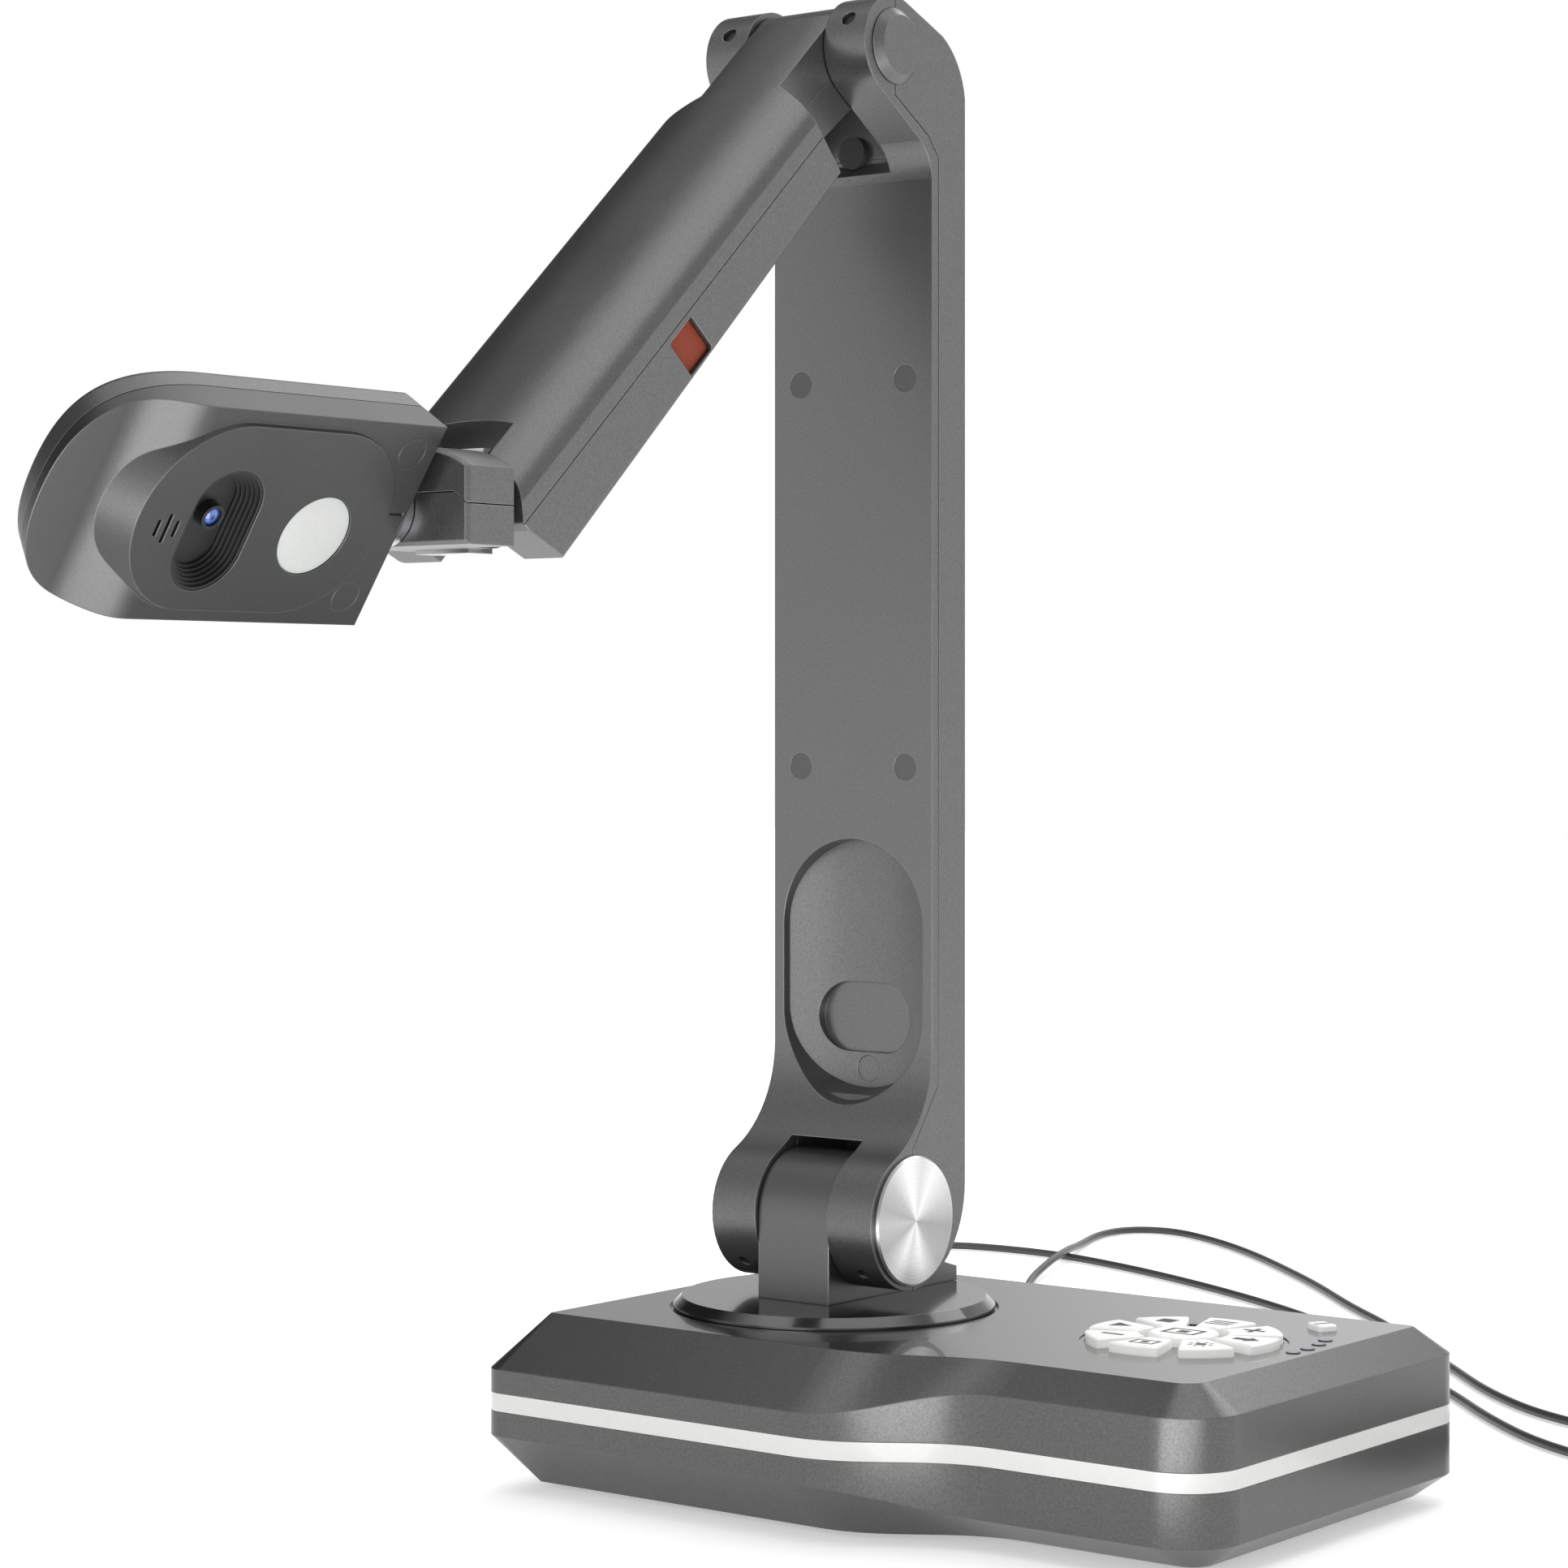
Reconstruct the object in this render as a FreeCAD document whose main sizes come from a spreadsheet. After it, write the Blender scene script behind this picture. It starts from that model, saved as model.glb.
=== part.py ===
import FreeCAD, Part
import math
import os
import re
from FreeCAD import Placement, Rotation
from FreeCAD import Vector as Vec

# Document camera (book scanner): a heavy console base with a ring of keys, a turntable, a folding
# two-part stand and a camera head.  Millimetres.  X runs along the console, Y towards its rear, Z up.
# The origin is the centre of the console's footprint, on the surface that the feet stand on.
# The rest pose is the column upright, the arm sloping down to the front and the head turned outwards.

doc = FreeCAD.newDocument("book_scanner")
sheet = doc.addObject("Spreadsheet::Sheet", "dims")

DIMENSIONS = [
    # console base
    ("base_length", 270), ("base_depth", 189), ("base_height", 56.5), ("foot_height", 1.5),
    ("base_wall", 2.5), ("front_step", 24), ("step_start", -8), ("step_end", 56),
    ("side_inset", 12), ("base_offset", -3.7), ("deep_inset", 21.5), ("shallow_inset", 13),
    ("under_inset", 16),
    ("deep_drop", 17), ("shallow_drop", 8.5), ("strip_bottom", 27), ("strip_top", 33),
    ("near_corner", 20), ("far_corner", 14), ("left_corner", 8),
    # turntable and pedestal
    ("stand_x", -60), ("stand_y", -1), ("disc_radius", 55.5), ("disc_thick", 4.1), ("disc_gap", 0.9),
    ("disc_bevel", 3), ("sleeve_radius", 13.95), ("sleeve_bore", 14), ("knuckle_width", 30),
    ("pedestal_radius", 22), ("foot_reach", 51), ("plate_height", 5),
    # column
    ("tilt_y", -2), ("tilt_z", 90), ("column_width", 68), ("column_front", 9.5), ("column_back", 29),
    ("barrel_radius", 23.7), ("throat_radius", 40), ("shaft_radius", 7.95), ("shaft_bore", 8),
    ("column_wall", 2.5), ("side_gap", 0.3), ("cap_radius", 22), ("cap_thick", 1.6),
    ("seam_y", 13), ("nest_low", 126.5), ("nest_high", 218.5), ("nest_width", 60), ("nest_depth", 9.4),
    # arm hinge and arm
    ("arm_y", -12), ("arm_z", 486.5), ("ear_radius", 17), ("arm_slope", 42.2), ("arm_neck", 33),
    ("arm_length", 245), ("pivot_offset", 1.5), ("arm_width", 68), ("arm_seam", 0.7),
    ("rim_height", 6), ("crown_height", 15.5), ("arm_under_near", -14.8), ("arm_under_far", -18.9),
    ("fork_start", 220.5), ("arm_wall", 2.2), ("pin_radius", 4.95), ("pin_bore", 5),
    # knuckle and head
    ("joint_width", 34), ("joint_height", 23.6), ("joint_front", 28.5), ("knuckle_wide", 67),
    ("neck_radius", 12.3),
    ("roll_radius", 5.95), ("roll_bore", 6), ("pivot_pin", 2.95), ("pivot_bore", 3),
    ("head_back", 32), ("head_width", 68.6), ("head_length", 131), ("tip_lean", 0.54), ("head_thick", 23.4),
    ("head_seam", 12.3), ("head_roll", -56.6), ("head_wall", 2), ("bump_width", 60),
    ("bump_near", 8.5), ("bump_far", 104), ("bump_proud", 1.5), ("bump_flare", 9), ("tip_drop", 6.2),
    ("window_y", 73), ("window_length", 39.5), ("window_width", 25), ("lamp_y", 35), ("lamp_radius", 13),
    # keys
    ("ring_x", 74), ("ring_y", 10), ("bezel_radius", 34), ("key_outer", 32), ("key_inner", 14.5),
    ("centre_radius", 11.3), ("key_proud", 2.8), ("key_clearance", 0.25), ("key_travel", 0.8),
    ("power_x", 98.5), ("power_y", 57), ("power_length", 9), ("power_width", 7),
    ("side_travel", 1.5),
    # cords
    ("cord_diameter", 3.4), ("relief_length", 25), ("relief_z", 22),
]
for row, (alias, number) in enumerate(DIMENSIONS, start=1):
    sheet.set(f"A{row}", alias)
    sheet.set(f"B{row}", str(number))
    sheet.setAlias(f"B{row}", alias)
doc.recompute()
NAMES = {alias for alias, number in DIMENSIONS}
NODES = []
WORD = re.compile(r"[a-z_]+")


def dim(alias):
    return float(sheet.get(alias))


def bind(target, **expressions):
    """Bind properties to expressions of the sheet's aliases; x, y and z place the object."""
    axes = {"x": ".Placement.Base.x", "y": ".Placement.Base.y", "z": ".Placement.Base.z"}
    for prop, text in expressions.items():
        full = WORD.sub(lambda word: "dims." + word.group() if word.group() in NAMES else word.group(),
                        str(text))
        target.setExpression(axes.get(prop, prop), full)
    return target


def primitive(kind, turn=None, **expressions):
    made = doc.addObject("Part::" + kind, kind)
    if turn is not None:
        made.Placement = Placement(Vec(), turn)
    return bind(made, **expressions)


def box(length, width, height, x, y, z):
    return primitive("Box", Length=length, Width=width, Height=height, x=x, y=y, z=z)


def rod(radius, height, x, y, z, turn=None):
    return primitive("Cylinder", turn, Radius=radius, Height=height, x=x, y=y, z=z)


def cut(base, *tools):
    made = doc.addObject("Part::Cut", "cut")
    made.Base = base
    made.Tool = tools[0] if len(tools) == 1 else fuse(*tools)
    return made


def fuse(*parts):
    made = doc.addObject("Part::MultiFuse", "fuse")
    made.Shapes = list(parts)
    return made


def group(*parts):
    made = doc.addObject("Part::Compound", "set")
    made.Links = list(parts)
    return made


def node(label, made):
    """Give a finished sub-part its name."""
    made.Label = label
    NODES.append(made)
    return made


def solid_node(label, shape, place=None):
    """A sub-part whose shape comes straight from Part's functions."""
    made = doc.addObject("Part::Feature", "feature")
    made.Shape = shape
    if place is not None:
        made.Placement = place
    return node(label, made)


ALONG_X = Rotation(Vec(0, 1, 0), 90)
ALONG_BACK = Rotation(Vec(1, 0, 0), -90)


# ------------------------------------------------------------------ plain shapes in Part's functions
def block(x_low, x_high, y_low, y_high, z_low, z_high):
    return Part.makeBox(x_high - x_low, y_high - y_low, z_high - z_low, Vec(x_low, y_low, z_low))


def disc(radius, height, x, y, z, axis=Vec(0, 0, 1)):
    return Part.makeCylinder(radius, height, Vec(x, y, z), axis)


def side_face(points):
    """A flat face in the plane X = 0 from points (y, z), and (y, z) pairs as (middle, end) of arcs."""
    edges = []
    last = Vec(0, *points[0])
    for point in points[1:]:
        if isinstance(point[0], tuple):
            middle, end = Vec(0, *point[0]), Vec(0, *point[1])
            edges.append(Part.Arc(last, middle, end).toShape())
        else:
            end = Vec(0, *point)
            edges.append(Part.LineSegment(last, end).toShape())
        last = end
    start = Vec(0, *points[0])
    if last.distanceToPoint(start) > 1e-6:
        edges.append(Part.LineSegment(last, start).toShape())
    return Part.Face(Part.Wire(edges))


def side_prism(points, x_low, x_high):
    face = side_face(points)
    face.translate(Vec(x_low, 0, 0))
    return face.extrude(Vec(x_high - x_low, 0, 0))


def stadium(centre_x, centre_y, length, width, z_low, z_high, along="y"):
    """An upright slot-shaped solid."""
    half, reach = width / 2, (length - width) / 2
    bar = block(-half, half, -reach, reach, z_low, z_high)
    ends = [disc(half, z_high - z_low, 0, side * reach, z_low) for side in (-1, 1)]
    made = bar.fuse(ends).removeSplitter()
    if along == "x":
        made.rotate(Vec(), Vec(0, 0, 1), 90)
    made.translate(Vec(centre_x, centre_y, 0))
    return made


def polar(centre, radius, degrees):
    angle = math.radians(degrees)
    return (centre[0] + radius * math.cos(angle), centre[1] + radius * math.sin(angle))


def rounded(shape, radius, wanted):
    """Fillet the edges that the test picks."""
    return shape.makeFillet(radius, [edge for edge in shape.Edges if wanted(edge)])


# ------------------------------------------------------------------------------------- console base
STAND_X, STAND_Y = dim("stand_x"), dim("stand_y")
FLOOR = dim("foot_height")
TOP = FLOOR + dim("base_height")


def base_loop(left, right, back, front_left, front_right, radii, heights):
    """The console's outline at one level: ten edges, anticlockwise from the front's left end."""
    near, far, far_left, near_left = radii
    z_left, z_right = heights
    start, end = dim("step_start"), dim("step_end")
    pull = (end - start) * 0.45

    def wave(x_from, y_from, z_from, x_to, y_to, z_to):
        reach = math.copysign(pull, x_to - x_from)
        curve = Part.BezierCurve()
        curve.setPoles([Vec(x_from, y_from, z_from), Vec(x_from + reach, y_from, z_from),
                        Vec(x_to - reach, y_to, z_to), Vec(x_to, y_to, z_to)])
        return curve.toShape()

    def line(x_from, y_from, x_to, y_to, z):
        return Part.LineSegment(Vec(x_from, y_from, z), Vec(x_to, y_to, z)).toShape()

    def corner(x, y, radius, from_angle, z):
        points = [Vec(*polar((x, y), radius, from_angle + turn), z) for turn in (0, 45, 90)]
        return Part.Arc(*points).toShape()

    return [
        line(left + near_left, front_left, start, front_left, z_left),
        wave(start, front_left, z_left, end, front_right, z_right),
        line(end, front_right, right - near, front_right, z_right),
        corner(right - near, front_right + near, near, -90, z_right),
        line(right, front_right + near, right, back - far, z_right),
        corner(right - far, back - far, far, 0, z_right),
        line(right - far, back, end, back, z_right),
        wave(end, back, z_right, start, back, z_left),
        line(start, back, left + far_left, back, z_left),
        corner(left + far_left, back - far_left, far_left, 90, z_left),
        line(left, back - far_left, left, front_left + near_left, z_left),
        corner(left + near_left, front_left + near_left, near_left, 180, z_left),
    ]


def base_solid(skin):
    """The console's outer form, or with a skin the form of its inside."""
    half_y = dim("base_depth") / 2 - skin
    left = dim("base_offset") - dim("base_length") / 2 + skin
    right = dim("base_offset") + dim("base_length") / 2 - skin
    side, step = dim("side_inset") + 0.3 * skin, dim("front_step")
    corners = [max(dim(name) - skin, 1) for name in
               ("near_corner", "far_corner", "far_corner", "left_corner")]
    tight = [max(radius - dim("side_inset"), 1) for radius in corners]
    deep, shallow = dim("deep_drop") + 0.5 * skin, dim("shallow_drop") + 0.5 * skin

    def wall(heights):
        return base_loop(left, right, half_y, -half_y, -half_y + step, corners, heights)

    def inner(front_left, front_right, z):
        return base_loop(left + side, right - side, half_y - side, -half_y + front_left,
                         -half_y + step + front_right, tight, (z, z))

    low, high = FLOOR + skin, TOP - skin
    loops = [
        inner(dim("under_inset"), dim("under_inset"), low),
        wall((FLOOR + deep, FLOOR + shallow)),
        wall((TOP - deep, TOP - shallow)),
        inner(dim("deep_inset"), dim("shallow_inset"), high),
    ]
    faces = [Part.Face(Part.Wire(loops[0])), Part.Face(Part.Wire(loops[-1]))]
    for lower, upper in zip(loops, loops[1:]):
        faces += [Part.makeRuledSurface(one, other) for one, other in zip(lower, upper)]
    shell = Part.makeShell(faces)
    shell.sewShape()
    made = Part.makeSolid(shell)
    if made.Volume < 0:
        made.reverse()
    return made


OUTER = base_solid(0)
INNER = base_solid(dim("base_wall"))
CEILING = TOP - dim("base_wall")
POSTS = [(-112, -66), (-112, 68), (112, -40), (112, 66), (0, -66), (0, 76)]
POST_RADIUS, SCREW_RADIUS, HEAD_RADIUS = 4.5, 1.5, 2.9
RING = (dim("ring_x"), dim("ring_y"))
POWER = (dim("power_x"), dim("power_y"))
INDICATORS = [(113.9, 11.4), (114.1, 20.2), (112.7, 29.9), (110.4, 38.1)]
INDICATOR_RADIUS = 1.8
RELIEFS = {"power_cord": -96.0, "data_cord": -62.0}
RELIEF_RADIUS = 3.2
DISC_BED = TOP - 1
SEAM_LINE, SEAM_DEEP = 0.35, 0.8
DISC_LOW = DISC_BED + dim("disc_gap")
DISC_TOP = DISC_LOW + dim("disc_thick")
BOARD_TOP = CEILING - 4.4


def upper_base():
    made = OUTER.common(block(-200, 200, -200, 200, dim("strip_top"), TOP + 5)).cut(INNER)
    hub = disc(19, CEILING + 1 - 47, STAND_X, STAND_Y, 47)
    posts = [disc(POST_RADIUS, CEILING + 1 - dim("strip_bottom"), x, y, dim("strip_bottom"))
             for x, y in POSTS]
    posts = [post.common(OUTER) for post in posts]
    pegs = [disc(2.5, CEILING + 1 - BOARD_TOP, RING[0] + dx, RING[1] + dy, BOARD_TOP)
            for dx in (-36, 36) for dy in (-36, 30)]
    made = made.fuse([hub] + posts + pegs)
    bed = disc(dim("disc_radius") + 1.2, 5, STAND_X, STAND_Y, DISC_BED)
    bore = disc(dim("sleeve_bore"), 40, STAND_X, STAND_Y, 40)
    opening = disc(dim("bezel_radius"), 10, *RING, CEILING - 2)
    holes = [disc(SCREW_RADIUS, 12, x, y, dim("strip_bottom")) for x, y in POSTS]
    lamps = [disc(INDICATOR_RADIUS, 10, x, y, CEILING - 2) for x, y in INDICATORS]
    power = power_outline(dim("key_clearance"), CEILING - 2, TOP + 2)
    return made.cut([bed, bore, opening, power] + holes + lamps).removeSplitter()


def lower_base():
    made = OUTER.common(block(-200, 200, -200, 200, -1, dim("strip_bottom"))).cut(INNER)
    plate = FLOOR + dim("base_wall")
    posts = [disc(POST_RADIUS, dim("strip_bottom") - plate + 1, x, y, plate - 1) for x, y in POSTS]
    pads = [disc(9.2, 1, x, y, FLOOR) for x, y in FEET]
    wells = [disc(HEAD_RADIUS + 0.2, 20 - FLOOR, x, y, FLOOR) for x, y in POSTS]
    holes = [disc(SCREW_RADIUS + 0.2, 30, x, y, FLOOR) for x, y in POSTS]
    glands = [disc(RELIEF_RADIUS, 10, x, dim("base_depth") / 2 - 5, dim("relief_z"), Vec(0, 1, 0))
              for x in RELIEFS.values()]
    return made.fuse(posts).cut(pads + wells + holes + glands).removeSplitter()


def power_outline(grow, z_low, z_high):
    half_x, half_y = dim("power_length") / 2 + grow, dim("power_width") / 2 + grow
    made = block(-half_x, half_x, -half_y, half_y, z_low, z_high)
    made = rounded(made, 1.5 + grow, lambda edge: abs(edge.tangentAt(edge.FirstParameter).z) > 0.9)
    made.rotate(Vec(), Vec(0, 0, 1), -30)
    made.translate(Vec(*POWER, 0))
    return made


FEET = [(-104, -58), (-104, 62), (104, -36), (104, 60)]
solid_node("base_top_shell", upper_base())
solid_node("base_bottom_shell", lower_base())
strip = OUTER.common(block(-200, 200, -200, 200, dim("strip_bottom"), dim("strip_top"))).cut(INNER)
solid_node("light_strip", strip)
node("rubber_feet", group(*[rod(9, "foot_height + 1", x, y, 0) for x, y in FEET]))
screws = []
for x, y in POSTS:
    screws.append(fuse(rod(HEAD_RADIUS, 2.4, x, y, "20 - 2.4"), rod(SCREW_RADIUS, 16, x, y, 20)))
node("base_screws", group(*screws))
node("base_weight", box(200, 100, 6, -100, -42, "foot_height + base_wall"))
board = box(130, 92, 1.6, -95, -38, "foot_height + base_wall + 10")
chips = [box(18, 18, 2, -40, 0, "foot_height + base_wall + 11.6"),
         box(12, 12, 1.5, -5, 20, "foot_height + base_wall + 11.6"),
         box(14, 9, 4, -75, 40, "foot_height + base_wall + 11.6")]
spacers = [rod(3, 4, x, y, "foot_height + base_wall + 6") for x in (-90, 30) for y in (-34, 50)]
node("main_board", fuse(board, *chips, *spacers))

# ------------------------------------------------------------------------------------------- keypad
KEY_COUNT = 8
KEY_SPREAD = 16.5
FLANGE_LOW, FLANGE_HIGH = CEILING - 1.7, CEILING - 0.5
SECTOR_STEP = 360.0 / KEY_COUNT


def sector(index, grow, z_low, z_high):
    """One key of the ring: part of a flat ring, as wide as its gaps allow."""
    inner, outer = dim("key_inner") - grow, dim("key_outer") + grow
    middle = (inner + outer) / 2
    spread = KEY_SPREAD + math.degrees(grow / middle)
    centre_angle = 90 - index * SECTOR_STEP
    first = [Vec(*polar(RING, outer, centre_angle + turn), z_low) for turn in (-spread, 0, spread)]
    second = [Vec(*polar(RING, inner, centre_angle + turn), z_low) for turn in (spread, 0, -spread)]
    wire = Part.Wire([Part.Arc(*first).toShape(), Part.LineSegment(first[2], second[0]).toShape(),
                      Part.Arc(*second).toShape(), Part.LineSegment(second[2], first[0]).toShape()])
    return Part.Face(wire).extrude(Vec(0, 0, z_high - z_low))


def at_height(height):
    return lambda edge: abs(edge.BoundBox.ZMin - height) < 1e-3 and abs(edge.BoundBox.ZMax - height) < 1e-3


KEY_TOP = TOP + dim("key_proud")
BEZEL_TOP = TOP - 0.4
bezel = disc(dim("bezel_radius"), BEZEL_TOP - CEILING, *RING, CEILING)
slots = [sector(index, dim("key_clearance"), CEILING - 1, TOP + 1) for index in range(KEY_COUNT)]
slots.append(disc(dim("centre_radius") + dim("key_clearance"), 6, *RING, CEILING - 1))
solid_node("key_bezel", bezel.cut(slots))
for index in range(KEY_COUNT):
    cap = sector(index, 0, FLANGE_LOW, KEY_TOP)
    cap = cap.makeChamfer(0.5, [edge for edge in cap.Edges if at_height(KEY_TOP)(edge)])
    flange = sector(index, 0.8, FLANGE_LOW, FLANGE_HIGH)
    solid_node(f"key_{index + 1}", cap.fuse(flange).removeSplitter())
cap = disc(dim("centre_radius"), KEY_TOP + 0.2 - FLANGE_LOW, *RING, FLANGE_LOW)
cap = cap.makeChamfer(0.6, [edge for edge in cap.Edges if at_height(KEY_TOP + 0.2)(edge)])
flange = disc(dim("centre_radius") + 0.8, FLANGE_HIGH - FLANGE_LOW, *RING, FLANGE_LOW)
solid_node("key_centre", cap.fuse(flange).removeSplitter())
cap = power_outline(0, FLANGE_LOW, TOP + 2)
cap = cap.makeChamfer(0.5, [edge for edge in cap.Edges if at_height(TOP + 2)(edge)])
flange = power_outline(0.8, FLANGE_LOW, FLANGE_HIGH)
solid_node("key_power", cap.fuse(flange).removeSplitter())
keyboard = block(RING[0] - 40, RING[0] + 40, RING[1] - 40, RING[1] + 34, BOARD_TOP - 1.6, BOARD_TOP)
domes = [disc(3, 1.5, *polar(RING, 23, 90 - index * SECTOR_STEP), BOARD_TOP) for index in range(KEY_COUNT)]
domes.append(disc(3, 1.5, *RING, BOARD_TOP))
keyboard = keyboard.fuse(block(POWER[0] - 9, POWER[0] + 5, RING[1] + 30, POWER[1] + 5,
                               BOARD_TOP - 1.6, BOARD_TOP))
domes.append(disc(2.5, 1.5, *POWER, BOARD_TOP))
solid_node("key_board", keyboard.fuse(domes))
lenses = [rod(INDICATOR_RADIUS, "base_wall + 0.3", x, y, "foot_height + base_height - base_wall")
          for x, y in INDICATORS]
node("indicator_lenses", group(*lenses))

# ---------------------------------------------------------------------------------------- turntable
bevelled = disc(dim("disc_radius"), dim("disc_thick"), STAND_X, STAND_Y, DISC_LOW)
bevelled = bevelled.makeChamfer(dim("disc_bevel"), [edge for edge in bevelled.Edges
                                                    if at_height(DISC_TOP)(edge)])
FOOT_SCREWS = [(STAND_X + dx, STAND_Y + dy) for dx in (-8, 8) for dy in (-18, 36)]
index_mark = block(dim("disc_radius") - 5, dim("disc_radius") + 5, -0.6, 0.6, DISC_LOW + 1.5, DISC_TOP + 1)
index_mark.rotate(Vec(), Vec(0, 0, 1), 54)
index_mark.translate(Vec(STAND_X, STAND_Y, 0))
index_mark = index_mark.cut(disc(dim("disc_radius") - 2.4, 20, STAND_X, STAND_Y, DISC_LOW - 2))
wells = [disc(HEAD_RADIUS + 0.1, 2, x, y, DISC_LOW) for x, y in FOOT_SCREWS]
wells += [disc(SCREW_RADIUS, 6, x, y, DISC_LOW) for x, y in FOOT_SCREWS]
solid_node("turntable_disc", bevelled.cut([index_mark, disc(9, 20, STAND_X, STAND_Y, DISC_LOW - 5)] + wells))
sleeve_low = 43.0
node("swivel_sleeve", cut(rod("sleeve_radius", DISC_LOW - sleeve_low, "stand_x", "stand_y", sleeve_low),
                          rod(9, DISC_LOW, "stand_x", "stand_y", sleeve_low - 1)))
node("swivel_nut", cut(rod(18, 3.2, "stand_x", "stand_y", sleeve_low + 0.4),
                       rod("sleeve_radius", 10, "stand_x", "stand_y", sleeve_low - 2)))
node("swivel_washer", cut(rod(34, "disc_gap - 0.1", "stand_x", "stand_y", DISC_BED),
                          rod(20, 5, "stand_x", "stand_y", DISC_BED - 1)))
screws = [fuse(rod(HEAD_RADIUS, 1.8, x, y, DISC_LOW + 0.2), rod(SCREW_RADIUS, 10, x, y, DISC_LOW + 2))
          for x, y in FOOT_SCREWS]
node("pedestal_screws", group(*screws))

TILT = (dim("tilt_y"), dim("tilt_z"))
HALF_KNUCKLE = dim("knuckle_width") / 2


def pedestal():
    radius, reach = dim("pedestal_radius"), dim("foot_reach")
    profile = [
        (TILT[0] - radius, DISC_TOP), (TILT[0] - radius, TILT[1]),
        (polar(TILT, radius, 90), polar(TILT, radius, -20)),
        (reach - 14, DISC_TOP + 9), (reach, DISC_TOP + dim("plate_height")), (reach, DISC_TOP),
    ]
    made = side_prism(profile, STAND_X - HALF_KNUCKLE, STAND_X + HALF_KNUCKLE)
    bore = disc(dim("shaft_bore"), 100, STAND_X - 50, *TILT, Vec(1, 0, 0))
    holes = [disc(SCREW_RADIUS, 8, x, y, DISC_TOP) for x, y in FOOT_SCREWS]
    passage = disc(6, 14, STAND_X, STAND_Y, DISC_TOP)
    return made.cut([bore, passage] + holes)


solid_node("pedestal", pedestal())

# ------------------------------------------------------------------------------------------- column
HINGE = (dim("arm_y"), dim("arm_z"))
HALF_COLUMN = dim("column_width") / 2
FRONT, BACK = dim("column_front"), dim("column_back")
GAP = dim("side_gap")
EAR_SLOPE = -33.3
HEEL_RADIUS = 34.2


def column_profile():
    """The column's side view: barrel, throat, flat front, hinge ear, sloping crown, flat back, heel."""
    barrel, throat, ear = dim("barrel_radius"), dim("throat_radius"), dim("ear_radius")
    throat_y = FRONT - throat
    throat_z = TILT[1] + math.sqrt((barrel + throat) ** 2 - (throat_y - TILT[0]) ** 2)
    meet_angle = math.degrees(math.atan2(throat_z - TILT[1], throat_y - TILT[0]))
    heel = (BACK - HEEL_RADIUS, TILT[1] + 10)
    heel_angle = math.degrees(math.atan2(TILT[1] - heel[1], TILT[0] - heel[0]))
    under = polar(HINGE, ear, 270 + EAR_SLOPE)
    run = FRONT - 7 - under[0]
    lip = (FRONT - 7, under[1] + run * math.tan(math.radians(EAR_SLOPE)))
    crown = polar(HINGE, ear, 68)
    return [
        (FRONT, throat_z),
        (polar((throat_y, throat_z), throat, (meet_angle - 180) / 2),
         polar((throat_y, throat_z), throat, meet_angle - 180)),
        (polar(TILT, barrel, 190), polar(TILT, barrel, heel_angle)),
        (polar(heel, HEEL_RADIUS, heel_angle / 2), (BACK, heel[1])),
        (BACK, 474),
        ((BACK - 4.3, 485.3), (BACK - 13.3, 493.8)),
        crown,
        (polar(HINGE, ear, 150), under),
        lip,
        ((FRONT - 1.6, lip[1] - 6.2), (FRONT, lip[1] - 12)),
    ]


def column_front_region(y_seam):
    """Everything in front of the seam, which runs through both hinge centres."""
    more = y_seam - dim("seam_y")
    return [(-80, 20), (TILT[0] + more, 20), (TILT[0] + more, TILT[1] + 24), (y_seam, TILT[1] + 45),
            (y_seam, 452 + more), (HINGE[0] + 19.6 + more, 458.3 + more), (HINGE[0] + more, 470 + more),
            (HINGE[0] + more, 540), (-80, 540)]


def column_shells():
    profile = column_profile()
    low, high = STAND_X - HALF_COLUMN, STAND_X + HALF_COLUMN
    whole = side_prism(profile, low, high)
    wall = dim("column_wall")
    cavity = block(low + wall, high - wall, FRONT + wall, BACK - wall, TILT[1] + 42, 446)
    window_low = block(STAND_X - HALF_KNUCKLE - GAP, STAND_X + HALF_KNUCKLE + GAP, -60, 60, 40, 116)
    window_low = window_low.cut(block(low, high, 26.8, 60, 99, 116))
    half_neck = dim("arm_neck") / 2 + GAP
    window_high = side_prism([(-60, 445), (7, 445), (FRONT + 2, 452), (FRONT + 2, 497), (-2, 520),
                              (-60, 520)], STAND_X - half_neck, STAND_X + half_neck)
    bores = [disc(dim("shaft_bore"), 100, low - 10, *TILT, Vec(1, 0, 0)),
             disc(dim("pin_bore"), 100, low - 10, *HINGE, Vec(1, 0, 0))]
    plugs = [disc(radius, 1.2, x, FRONT, z, Vec(0, 1, 0)) for x, z, radius in FRONT_PLUGS]
    bush = disc(5.5, 10, STAND_X, FRONT - 1, 456, Vec(0, 1, 0))
    screws = [disc(hole, 2.9, x, *spot, Vec(0, *aim)) for x, spot, aim, hole in EAR_SCREWS]
    region = side_prism(column_front_region(dim("seam_y")), low - 5, high + 5)
    made = whole.cut([cavity, window_low, window_high] + bores + screws)
    front = made.common(region).fuse(nest_tray(0)).cut([nest(), nest_marks(), bush] + plugs)
    front = front.removeSplitter()
    strip = side_prism(column_front_region(dim("seam_y") + SEAM_LINE), low - 5, high + 5).cut(region)
    strip = strip.cut(block(low + SEAM_DEEP, high - SEAM_DEEP, -90, 90, 0, 600))
    rear = made.cut(region).cut([nest_tray(0.1), bush, strip])
    return front, rear


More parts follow.
